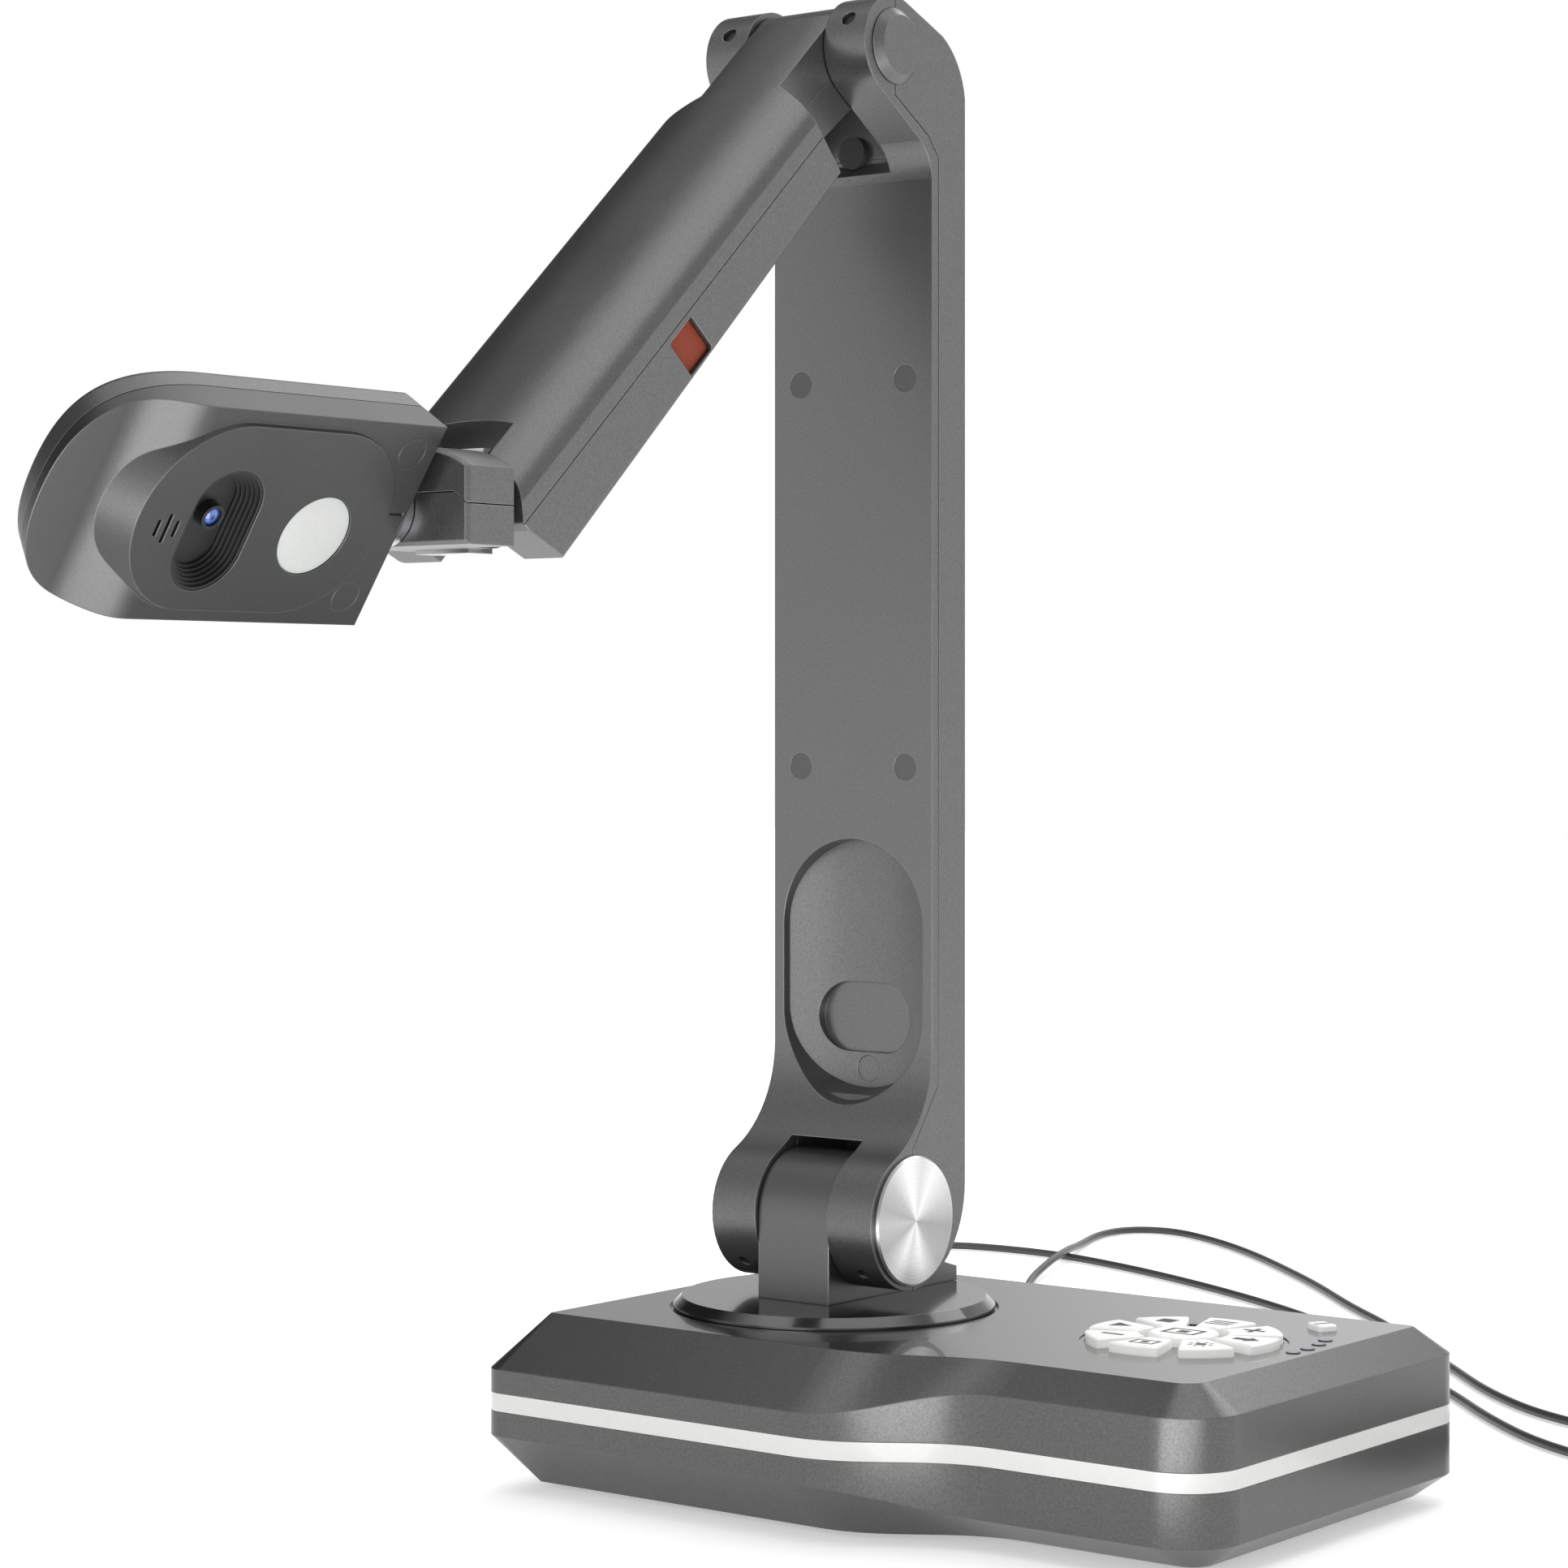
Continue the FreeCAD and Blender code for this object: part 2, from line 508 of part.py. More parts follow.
def nest_outline(y, low, width):
    """A slot-shaped wire, standing in the plane at y, that ends at the rest's top."""
    high, half = dim("nest_high"), width / 2
    left, right = STAND_X - half, STAND_X + half
    points = [Vec(left, y, low + half), Vec(STAND_X, y, low), Vec(right, y, low + half),
              Vec(right, y, high - half), Vec(STAND_X, y, high), Vec(left, y, high - half)]
    return Part.Wire([Part.Arc(*points[:3]).toShape(), Part.LineSegment(*points[2:4]).toShape(),
                      Part.Arc(*points[3:]).toShape(), Part.LineSegment(points[5], points[0]).toShape()])


def nest():
    """The slot-shaped rest for the head: its floor is hollow from side to side, its lower end slopes."""
    width, low = dim("nest_width"), dim("nest_low")
    near, far = -5, 22
    wires = [nest_outline(y, low + NEST_SLOPE * (y - NEST_MEETS), width) for y in (near, far)]
    hollow = disc(NEST_HOLLOW, 200, STAND_X, FRONT + dim("nest_depth") - NEST_HOLLOW, low - 50)
    return Part.makeLoft(wires, True).common(hollow)


def nest_tray(grow):
    """The pocket behind the column's front that holds the rest."""
    deep = FRONT + NEST_PAD + dim("column_wall") + grow
    skin = dim("column_wall") - 0.3 + grow
    low, high, half = dim("nest_low") - skin, dim("nest_high") + skin, dim("nest_width") / 2 + skin
    slot = stadium(0, 0, high - low, 2 * half, 0, deep - FRONT)
    slot.rotate(Vec(), Vec(1, 0, 0), -90)
    slot.translate(Vec(STAND_X, FRONT, (low + high) / 2))
    return slot


def nest_marks():
    """Two prints in the rest's floor: a flat lying slot where the lens housing lies, and a round."""
    lying = stadium(0, 0, MARK_LENGTH, MARK_WIDTH, 0, NEST_PAD, "x")
    lying.rotate(Vec(), Vec(1, 0, 0), -90)
    lying.translate(Vec(STAND_X, FRONT, MARK_Z))
    return lying.fuse(disc(4.6, dim("nest_depth") + 0.3, STAND_X, FRONT, MARK_Z - 18, Vec(0, 1, 0)))


NEST_HOLLOW, NEST_SLOPE, NEST_MEETS, NEST_PAD = 80, 0.33, 3.5, 10.5
MARK_LENGTH, MARK_WIDTH, MARK_Z = 39.6, 24.5, 156
FRONT_PLUGS = [(STAND_X + dx, z, 4.6) for dx in (-22.5, 22.5) for z in (243.5, 377)]
EAR_SCREWS = []
for x in (STAND_X - 25.5, STAND_X + 25.5):
    for centre, radius, angle, hole in ((TILT, dim("barrel_radius"), 226, 2.1),
                                        (HINGE, dim("ear_radius"), 151, 2.7)):
        spot = polar(centre, radius, angle)
        inward = polar((0, 0), 1, angle + 180)
        EAR_SCREWS.append((x, (spot[0] - inward[0] * 0.5, spot[1] - inward[1] * 0.5), inward, hole))
front, rear = column_shells()
solid_node("column_front_shell", front)
solid_node("column_rear_shell", rear)
frame_bar = cut(box("column_width - 12", 7, 210, "stand_x - column_width/2 + 6", "column_front + 8",
                    "tilt_z + 136"),
                box("column_width - 18", 10, 220, "stand_x - column_width/2 + 9", "column_front + 10",
                    "tilt_z + 131"))
node("column_frame", frame_bar)
node("tilt_shaft", cut(rod("shaft_radius", "column_width", "stand_x - column_width/2", "tilt_y", "tilt_z",
                           ALONG_X),
                       rod(5, "column_width + 2", "stand_x - column_width/2 - 1", "tilt_y", "tilt_z",
                           ALONG_X)))


def end_caps(radius, proud, chamfer, centre):
    """A pair of round covers on the column's two flanks, their outer rims chamfered."""
    made = []
    for sign in (-1, 1):
        inner, outer = STAND_X + sign * HALF_COLUMN, STAND_X + sign * (HALF_COLUMN + proud)
        blank = disc(radius, proud, min(inner, outer), *centre, Vec(1, 0, 0))
        rim = [edge for edge in blank.Edges if abs(edge.BoundBox.XMin - outer) < 1e-3
               and abs(edge.BoundBox.XMax - outer) < 1e-3]
        made.append(blank.makeChamfer(chamfer, rim))
    return Part.makeCompound(made)


solid_node("tilt_caps", end_caps(dim("cap_radius"), dim("cap_thick"), 0.7, TILT))
solid_node("hinge_caps", end_caps(12.8, 3, 2.6, HINGE))
node("arm_shaft", rod("pin_radius", "column_width", "stand_x - column_width/2", "arm_y", "arm_z", ALONG_X))
plugs = [rod(radius, 1.1, x, "column_front + 0.1", z, ALONG_BACK) for x, z, radius in FRONT_PLUGS]
node("column_screw_plugs", group(*plugs))
node("cable_bush", cut(rod(5.5, "column_wall + 1", "stand_x", "column_front - 0.6", 456, ALONG_BACK),
                       rod(3, 20, "stand_x", "column_front + 0.6", 456, ALONG_BACK)))
ear_heads = []
for x, spot, aim, hole in EAR_SCREWS:
    seat = Vec(x, spot[0] + aim[0] * 1.9, spot[1] + aim[1] * 1.9)
    ear_heads.append(Part.makeCylinder(hole - 0.1, 1, seat, Vec(0, *aim)))
solid_node("ear_screws", Part.makeCompound(ear_heads))

# ---------------------------------------------------------------------------------------------- arm
# The arm is drawn lying level, its hinge at the origin and its free end towards -Y, then sloped.
ARM_PLACE = Placement(Vec(STAND_X, *HINGE), Rotation(Vec(1, 0, 0), dim("arm_slope")))
HALF_ARM, HALF_NECK = dim("arm_width") / 2, dim("arm_neck") / 2
LENGTH, RIM, SEAM = dim("arm_length"), dim("rim_height"), dim("arm_seam")
UNDER_NEAR, UNDER_FAR = dim("arm_under_near"), dim("arm_under_far")
SHOULDER = 54


def crown_form(skin):
    """The arm's upper cover as one long bar: straight rims, steep round shoulders, a flat crown."""
    half, high = HALF_ARM - skin, dim("crown_height") - skin
    low = SEAM - (2 * skin if skin else 0)
    points = [Vec(-half, 0, low), Vec(-half, 0, RIM - 0.3 * skin)]
    curve = Part.BSplineCurve()
    shoulder = [Vec(-half, 0, RIM - 0.3 * skin), Vec(-half + 3.5, 0, RIM + 4.8 - skin * 0.8),
                Vec(-half + 11, 0, high - 1.6), Vec(0, 0, high), Vec(half - 11, 0, high - 1.6),
                Vec(half - 3.5, 0, RIM + 4.8 - skin * 0.8), Vec(half, 0, RIM - 0.3 * skin)]
    curve.interpolate(shoulder)
    edges = [Part.LineSegment(*points).toShape(), curve.toShape(),
             Part.LineSegment(shoulder[-1], Vec(half, 0, low)).toShape(),
             Part.LineSegment(Vec(half, 0, low), points[0]).toShape()]
    face = Part.Face(Part.Wire(edges))
    face.translate(Vec(0, 20, 0))
    return face.extrude(Vec(0, -(LENGTH + 40), 0))


def under_z(y):
    """Height of the arm's underside at a place along it."""
    share = (-y - SHOULDER) / (LENGTH - 1 - SHOULDER)
    return UNDER_NEAR + (UNDER_FAR - UNDER_NEAR) * share


def arm_upper():
    outer = crown_form(0)
    end = side_prism([(25, -30), (25, 30), (-LENGTH + 9, 30), ((-LENGTH + 3.5, 13.2), (-LENGTH - 2.5, 6.6)),
                      (-LENGTH - 6.5, 1), (-LENGTH - 5.5, -30)], -60, 60)
    nose = side_prism([(0, dim("crown_height") - 0.4), ((10.7, 10.7), (15.1, SEAM)), (40, SEAM), (40, 30),
                       (0, 30)], -60, 60)
    hull = outer.common(end).cut(nose)
    cavity = crown_form(dim("arm_wall")).common(block(-60, 60, -dim("fork_start") + 6, -60, -20, 40))
    sides = [side_notch(sign) for sign in (-1, 1)]
    fork = block(-HALF_FORK, HALF_FORK, -LENGTH - 40, -dim("fork_start"), -40, 40)
    arch = disc(90, 60, 0, -dim("fork_start") - 88, -20)
    fork = fork.fuse(arch.common(block(-HALF_FORK, HALF_FORK, -LENGTH, -60, -40, 40)))
    barrel = disc(HUB, 2 * HALF_NECK, -HALF_NECK, 0, 0, Vec(1, 0, 0))
    barrel = barrel.common(block(-60, 60, -60, 60, SEAM, 60))
    made = hull.cut([cavity, fork] + sides).fuse(barrel)
    bores = [disc(dim("pin_bore"), 100, -50, 0, 0, Vec(1, 0, 0)),
             disc(dim("pivot_bore"), dim("arm_width") - 6, 3 - HALF_ARM, *PIVOT, Vec(1, 0, 0))]
    return made.cut(bores).removeSplitter()


def side_notch(sign):
    """Room beside the arm's neck for one of the column's ears; its floor slopes outwards."""
    inner, outer = HALF_NECK, HALF_ARM + 5
    face = Part.makePolygon([Vec(sign * inner, 30, -40), Vec(sign * inner, -42, -40),
                             Vec(sign * (outer - 4), -SHOULDER, -40), Vec(sign * outer, -SHOULDER, -40),
                             Vec(sign * outer, 30, -40), Vec(sign * inner, 30, -40)])
    return Part.Face(face).extrude(Vec(0, 0, 100))


def arm_lower():
    far = -LENGTH + 1
    profile = [(HUB, SEAM), (polar((0, 0), HUB, -45), polar((0, 0), HUB, -107)), (-36, UNDER_NEAR + 3),
               (-SHOULDER, under_z(-SHOULDER)),
               (far, under_z(far)), (-LENGTH - 6.1, -2.4), (-LENGTH - 6.5, SEAM)]
    hull = side_prism(profile, -HALF_ARM, HALF_ARM)
    lip = rounded_sides(hull)
    wall = dim("arm_wall")
    cavity = side_prism([(-60, SEAM + 1), (-60, under_z(-60) + wall),
                         (-dim("fork_start") + 6, under_z(-dim("fork_start")) + wall),
                         (-dim("fork_start") + 6, SEAM + 1)], -HALF_ARM + wall, HALF_ARM - wall)
    sides = [side_notch(sign) for sign in (-1, 1)]
    fork = block(-HALF_FORK, HALF_FORK, -LENGTH - 40, -dim("fork_start"), -40, 40)
    bores = [disc(dim("pin_bore"), 100, -50, 0, 0, Vec(1, 0, 0)),
             disc(dim("pivot_bore"), dim("arm_width") - 6, 3 - HALF_ARM, *PIVOT, Vec(1, 0, 0)),
             side_button_form(0.15, 12)]
    line = block(-60, 60, -LENGTH - 40, 40, SEAM - SEAM_LINE, SEAM)
    line = line.cut(block(SEAM_DEEP - HALF_ARM, HALF_ARM - SEAM_DEEP, -LENGTH - 40, 40, -40, 40))
    return lip.cut([cavity, fork, line] + sides + bores).removeSplitter()


def rounded_sides(hull):
    long_edges = [edge for edge in hull.Edges if edge.BoundBox.YLength > 120 and edge.BoundBox.ZMax < -10]
    return hull.makeFillet(2, long_edges)


BUTTON_FAR, BUTTON_NEAR = -161.8, -145.9
SIDE_SEAT = 1.8


def side_button_form(grow, depth):
    """The four-sided key in the arm's right flank, just under the seam, with two clipped corners."""
    low, high = -15.2 - grow, -1.6 + grow
    far, near = BUTTON_FAR - grow, BUTTON_NEAR + grow
    lean, clip = 1.8, 0.9
    points = [(far, high - clip), (far + clip, high), (near - lean, high), (near, low + clip),
              (near - clip, low), (far + lean, low)]
    return side_prism(points, HALF_ARM - depth, HALF_ARM - SIDE_SEAT + 10 * (grow > 0))


HUB = 15.1
HALF_FORK = dim("joint_width") / 2 + GAP
PIVOT = (-LENGTH, dim("pivot_offset"))
solid_node("arm_upper_shell", arm_upper(), ARM_PLACE)
solid_node("arm_lower_shell", arm_lower(), ARM_PLACE)
solid_node("side_button", side_button_form(0, 9).fuse(side_prism(
    [(BUTTON_FAR - 1.2, -13.6), (BUTTON_NEAR + 1.2, -13.6), (BUTTON_NEAR + 1.2, -0.8),
     (BUTTON_FAR - 1.2, -0.8)],
    HALF_ARM - 6.6, HALF_ARM - 5)), ARM_PLACE)
pivot_pin = disc(dim("pivot_pin"), dim("arm_width") - 6.4, 3.2 - HALF_ARM, *PIVOT, Vec(1, 0, 0))
solid_node("pivot_shaft", pivot_pin, ARM_PLACE)

# ------------------------------------------------------------------------------------------ knuckle
PIVOT_POINT = ARM_PLACE.multVec(Vec(0, *PIVOT))
KNUCKLE_PLACE = Placement(PIVOT_POINT, Rotation())
HALF_JOINT, HALF_TALL = dim("joint_width") / 2, dim("joint_height") / 2
REACH = dim("joint_front")


def knuckle():
    """A crowned block across the arm's end, with a round-heeled tongue between the fork's prongs."""
    half, low, side = dim("knuckle_wide") / 2, -HALF_TALL, HALF_TALL - 0.4
    curve = Part.BSplineCurve()
    curve.interpolate([Vec(x, -REACH, z) for x, z in
                       ((-half, side), (7 - half, side + 3.6), (14 - half, side + 5.5), (0, side + 6.6),
                        (half - 14, side + 5.5), (half - 7, side + 3.6), (half, side))])
    edges = [curve.toShape(), Part.LineSegment(Vec(half, -REACH, side), Vec(half, -REACH, low)).toShape(),
             Part.LineSegment(Vec(half, -REACH, low), Vec(-half, -REACH, low)).toShape(),
             Part.LineSegment(Vec(-half, -REACH, low), Vec(-half, -REACH, side)).toShape()]
    bar = Part.Face(Part.Wire(edges)).extrude(Vec(0, REACH - BAR_BACK, 0))
    bar = bar.makeChamfer(1.2, [edge for edge in bar.Edges if abs(edge.BoundBox.YMin + REACH) < 1e-3
                                and abs(edge.BoundBox.YMax + REACH) < 1e-3])
    tongue = side_prism([(0, HALF_TALL), ((HALF_TALL, 0), (0, -HALF_TALL)), (-BAR_BACK - 1, -HALF_TALL),
                         (-BAR_BACK - 1, HALF_TALL)], -HALF_JOINT, HALF_JOINT)
    bore = disc(dim("pivot_bore"), 100, -50, 0, 0, Vec(1, 0, 0))
    roll = disc(dim("roll_bore"), 9, 0, -REACH - 1, 0, Vec(0, 1, 0))
    core = block(-11, 11, -3.8, HALF_TALL - 1, -HALF_TALL - 5, HALF_TALL + 5)
    pockets = [block(min(start, end), max(start, end), -REACH + 2.5, -BAR_BACK - 2.5, 2.5 - HALF_TALL,
                     HALF_TALL - 2.5) for start, end in ((12, half - 2.5), (-12, 2.5 - half))]
    return bar.fuse(tongue).cut([bore, roll, core] + pockets)


def knuckle_split(grow):
    """Everything below the knuckle's seam, which steps up in its middle."""
    points = [(-50, -50), (50, -50), (50, 0), (33, 0), (27.5, 3.5), (-27.5, 3.5), (-33, 0), (-50, 0),
              (-50, -50)]
    wire = Part.makePolygon([Vec(x, -50, z + (grow if z >= 0 else 0)) for x, z in points])
    return Part.Face(wire).extrude(Vec(0, 100, 0))


BAR_BACK = 8.4
body = knuckle()
below = knuckle_split(0)
line = knuckle_split(SEAM_LINE).cut(below)
line = line.cut(block(-32.7, 32.7, -REACH + SEAM_DEEP, 50, -50, 50))
solid_node("knuckle_upper_shell", body.cut([below, line]).removeSplitter(), KNUCKLE_PLACE)
solid_node("knuckle_lower_shell", body.common(below).removeSplitter(), KNUCKLE_PLACE)
bracket = block(-10.9, 10.9, -3.7, 7, -HALF_TALL - 1.2, HALF_TALL + 1)
bracket = bracket.fuse(block(-HALF_JOINT, HALF_JOINT, -3.7, 7, HALF_TALL + 0.1, 18.3))
bracket = bracket.cut(disc(dim("pivot_bore"), 100, -50, 0, 0, Vec(1, 0, 0)))
solid_node("knuckle_bracket", bracket.removeSplitter(), KNUCKLE_PLACE)

# --------------------------------------------------------------------------------------------- head
# The head is drawn with its lens down, its roll axis along Y and its rear face at the origin.
HEAD_PLACE = Placement(PIVOT_POINT + Vec(0, -dim("head_back"), 0), Rotation(Vec(0, 1, 0), dim("head_roll")))
HALF_HEAD, HEAD_LENGTH = dim("head_width") / 2, dim("head_length")
FACE_Z = -dim("head_thick") / 2
BACK_Z = dim("head_thick") / 2
SEAM_Z = FACE_Z + dim("head_seam")
BUMP_Z = FACE_Z - dim("bump_proud")
MIDDLE_X = -3.8


def head_outline(skin, z):
    """The head's outline at height z as a wire: straight sides, and a broad tip that leans with height."""
    half, far = HALF_HEAD - skin, -HEAD_LENGTH + skin + dim("tip_lean") * z
    bend, reach = far + 46, far + 12
    right, left = Part.BezierCurve(), Part.BezierCurve()
    right.setPoles([Vec(half, bend, z), Vec(half, reach, z), Vec(0.67 * half, far, z), Vec(0, far, z)])
    left.setPoles([Vec(0, far, z), Vec(-0.67 * half, far, z), Vec(-half, reach, z), Vec(-half, bend, z)])
    edges = [Part.LineSegment(Vec(half, -skin, z), Vec(half, bend, z)).toShape(), right.toShape(),
             left.toShape(), Part.LineSegment(Vec(-half, bend, z), Vec(-half, -skin, z)).toShape(),
             Part.LineSegment(Vec(-half, -skin, z), Vec(half, -skin, z)).toShape()]
    return Part.Wire(edges)


def head_block(skin, z_low, z_high):
    return Part.makeLoft([head_outline(skin, z_low), head_outline(skin, z_high)], True, True)


def tip_relief(skin):
    """What the lens side gives up towards the tip: a smooth step from full depth to a thin edge."""
    deep = FACE_Z + dim("tip_drop") + skin
    curve = Part.BezierCurve()
    face = FACE_Z + skin
    curve.setPoles([Vec(-60, -90, face), Vec(-60, -102, face), Vec(-60, -105, deep), Vec(-60, -118, deep)])
    edges = [curve.toShape(),
             Part.LineSegment(Vec(-60, -118, deep), Vec(-60, -150, deep + 1.4)).toShape(),
             Part.LineSegment(Vec(-60, -150, deep + 1.4), Vec(-60, -150, -40)).toShape(),
             Part.LineSegment(Vec(-60, -150, -40), Vec(-60, -90, -40)).toShape(),
             Part.LineSegment(Vec(-60, -90, -40), Vec(-60, -90, face)).toShape()]
    return Part.Face(Part.Wire(edges)).extrude(Vec(120, 0, 0))


def slot_wire(near, far, width, z):
    """A slot-shaped wire lying at height z, between two places along the head."""
    half = width / 2
    points = [Vec(half, near - half, z), Vec(0, near, z), Vec(-half, near - half, z),
              Vec(-half, far + half, z), Vec(0, far, z), Vec(half, far + half, z)]
    return Part.Wire([Part.Arc(*points[:3]).toShape(), Part.LineSegment(*points[2:4]).toShape(),
                      Part.Arc(*points[3:]).toShape(), Part.LineSegment(points[5], points[0]).toShape()])


def bump_form(skin):
    """The housing around lens and lamp: its walls flare out, most of all towards the head's tip."""
    near, far, width = -dim("bump_near") - skin, -dim("bump_far") + skin, dim("bump_width") - 2 * skin
    foot = BUMP_Z + dim("bump_proud") + dim("tip_drop")
    rise = (BUMP_Z + skin - foot) / (BUMP_Z - foot)
    flare, reach = 4 * rise, dim("bump_flare") * rise
    return Part.makeLoft([slot_wire(near, far, width, BUMP_Z + skin),
                          slot_wire(near + 1, far - reach, width + flare, foot)], True)


def lens_shell():
    wall = dim("head_wall")
    skin = head_block(0, FACE_Z, SEAM_Z).cut(tip_relief(0))
    inside = head_block(wall, FACE_Z + wall, SEAM_Z).cut(tip_relief(wall))
    bump = bump_form(0)
    line = head_block(0, SEAM_Z - SEAM_LINE, SEAM_Z + 1).cut(head_block(SEAM_DEEP, SEAM_Z - 2, SEAM_Z + 2))
    made = skin.cut(inside).fuse(bump).cut([bump_form(wall), line])
    window = stadium(MIDDLE_X, -dim("window_y"), dim("window_length"), dim("window_width"), -30, 0, "x")
    lamp = disc(dim("lamp_radius"), 30, MIDDLE_X, -dim("lamp_y"), -30)
    plugs = [disc(5.1, 1.1, x, -9.5, FACE_Z) for x in (-24.6, 24.6)]
    slots = [slot_tool(y, length) for y, length in MIC_SLOTS]
    mark = block(3.9, 5, -8.2, -1.6, FACE_Z - 1, FACE_Z + 0.5)
    neck = disc(dim("roll_bore"), 9, 0, -8, 0, Vec(0, 1, 0))
    return made.cut([window, lamp, neck, mark] + plugs + slots)


MIC_SLOTS = [(-95.6, 5.5), (-92.2, 9.5), (-88.8, 5.5)]


def slot_tool(y, length):
    return stadium(MIDDLE_X, y, length, 1.3, -30, 0, "x")


def back_shell():
    wall = dim("head_wall")
    body = head_block(0, SEAM_Z, BACK_Z)
    back_edges = [edge for edge in body.Edges if at_height(BACK_Z)(edge) and edge.BoundBox.YMin < -1]
    body = body.makeFillet(4.5, back_edges)
    inside = head_block(wall + 1.5, SEAM_Z - 1, BACK_Z - wall)
    neck = disc(dim("roll_bore"), 9, 0, -8, 0, Vec(0, 1, 0))
    return body.cut([inside, neck])


solid_node("head_back_shell", back_shell(), HEAD_PLACE)
solid_node("head_lens_shell", lens_shell(), HEAD_PLACE)


def stepped_bezel():
    """The stepped well around the lens: a ring of small ledges narrowing towards the lens."""
    made = stadium(MIDDLE_X, -dim("window_y"), dim("window_length"), dim("window_width"),
                   BUMP_Z + 0.3, -2, "x")
    steps, ledge = 6, 0.8
    for index in range(steps):
        shrink = 2 * (1.0 + ledge * index)
        low = BUMP_Z - 1
        high = BUMP_Z + 0.3 + 1.1 * (index + 1)
        made = made.cut(stadium(MIDDLE_X, -dim("window_y"), dim("window_length") - shrink,
                                dim("window_width") - shrink, low, high, "x"))
    return made.cut(disc(4.0, 30, LENS_X, -dim("window_y"), -28))


LENS_X = -1.5
BARREL_LOW = BUMP_Z + 3.4
solid_node("lens_bezel", stepped_bezel(), HEAD_PLACE)
barrel = disc(3.95, -1.2 - BARREL_LOW, LENS_X, -dim("window_y"), BARREL_LOW)
barrel = barrel.cut(disc(2.9, 3, LENS_X, -dim("window_y"), BARREL_LOW - 1))
solid_node("lens_barrel", barrel, HEAD_PLACE)
dome = Part.makeSphere(5.2, Vec(LENS_X, -dim("window_y"), BARREL_LOW + 5.2 + 0.2))
dome = dome.common(disc(2.85, 1.7, LENS_X, -dim("window_y"), BARREL_LOW + 0.2))
solid_node("lens_glass", dome, HEAD_PLACE)
lamp = Part.makeSphere(60, Vec(MIDDLE_X, -dim("lamp_y"), BUMP_Z - 0.9 + 60))
lamp = lamp.common(disc(dim("lamp_radius") - 0.1, 3, MIDDLE_X, -dim("lamp_y"), BUMP_Z - 1))
solid_node("lamp_diffuser", lamp, HEAD_PLACE)
lamp_board = disc(11.5, 1.2, MIDDLE_X, -dim("lamp_y"), BUMP_Z + 4.2)
LED_HALF = 1.5
leds = []
for step in (-6, 0, 6):
    middle_y = step - dim("lamp_y")
    leds.append(block(MIDDLE_X - LED_HALF, MIDDLE_X + LED_HALF, middle_y - LED_HALF,
                      middle_y + LED_HALF, BUMP_Z + 3.2, BUMP_Z + 4.2))
solid_node("lamp_board", lamp_board.fuse(leds), HEAD_PLACE)
sensor = block(-26, 26, -104, -50, -1.2, 0.4)
sensor = sensor.fuse([block(12, 22, -60, -51, -3, -1.2), disc(3, 2.4, MIDDLE_X, -91.5, -3.6)])
solid_node("sensor_board", sensor, HEAD_PLACE)
plugs = [disc(5, 1, x, -9.5, FACE_Z) for x in (-24.6, 24.6)]
solid_node("head_screw_plugs", Part.makeCompound(plugs), HEAD_PLACE)
shaft = disc(dim("roll_radius"), 8, 0, -8, 0, Vec(0, 1, 0))
neck_run = dim("head_back") - REACH - GAP
shaft = shaft.fuse(disc(dim("neck_radius"), neck_run, 0, 0, 0, Vec(0, 1, 0)))
shaft = shaft.fuse(disc(dim("roll_radius"), 6, 0, neck_run, 0, Vec(0, 1, 0)))
solid_node("roll_shaft", shaft, HEAD_PLACE)

# -------------------------------------------------------------------------------------------- cords
# Two leads leave the console's rear wall, lie on the surface in loose curves, and end in a neat coil.
CORD_RADIUS = dim("cord_diameter") / 2
LIE = CORD_RADIUS + 0.05
REAR = dim("base_depth") / 2
EXIT_Y, EXIT_Z = REAR + dim("relief_length"), dim("relief_z")
ARC_SHARE = 0.45
ROUTES = {
    "power_cord": [
        (-96, EXIT_Y, EXIT_Z), (-96.5, 133, 21), (-99, 149, 12), (-106, 166, 3.6), (-120, 188, LIE),
        (-143, 217, LIE), (-177, 255, LIE), (-219, 289, LIE), (-262, 327, LIE), (-301, 370, LIE),
        (-333, 414, LIE), (-354, 450, LIE), (-345, 469, LIE), (-319, 475, LIE), (-281, 474, LIE),
        (-234, 458.5, LIE), (-189, 438.5, LIE), (-146, 416, LIE), (-105, 391, LIE), (-66, 362, LIE),
        (-27, 321, LIE), (9, 287, LIE), (41, 258, LIE), (74, 222, LIE), (111, 188.5, LIE),
        (150, 169, LIE), (193.8, 158.1, LIE)],
    "data_cord": [
        (-62, EXIT_Y, EXIT_Z), (-62, 133, 21), (-64, 149, 12), (-70, 166, 3.6), (-82, 190, LIE),
        (-106, 224, LIE), (-140, 266, LIE), (-178, 303, LIE), (-215, 346, LIE), (-245, 391, LIE),
        (-259, 430, 5.6), (-274, 468, 5.6), (-293, 508, LIE), (-307, 547, LIE), (-304, 571, LIE),
        (-283, 579, LIE), (-249, 562, LIE), (-211, 534, LIE), (-172, 499, LIE), (-134, 463, LIE),
        (-93, 419.5, LIE), (-57, 386, LIE), (-20, 345, LIE), (15, 308, LIE), (51, 268, LIE),
        (91, 236, LIE), (133, 223, LIE), (175.8, 222.1, LIE)],
}
COILS = {"power": (190, 136), "data": (172, 200)}
COIL_OUTER, COIL_INNER, COIL_HEIGHT = 24.1, 13.9, 6.8
LEAVE_ANGLE = 60
LEAVE_RADIUS = COIL_OUTER - CORD_RADIUS


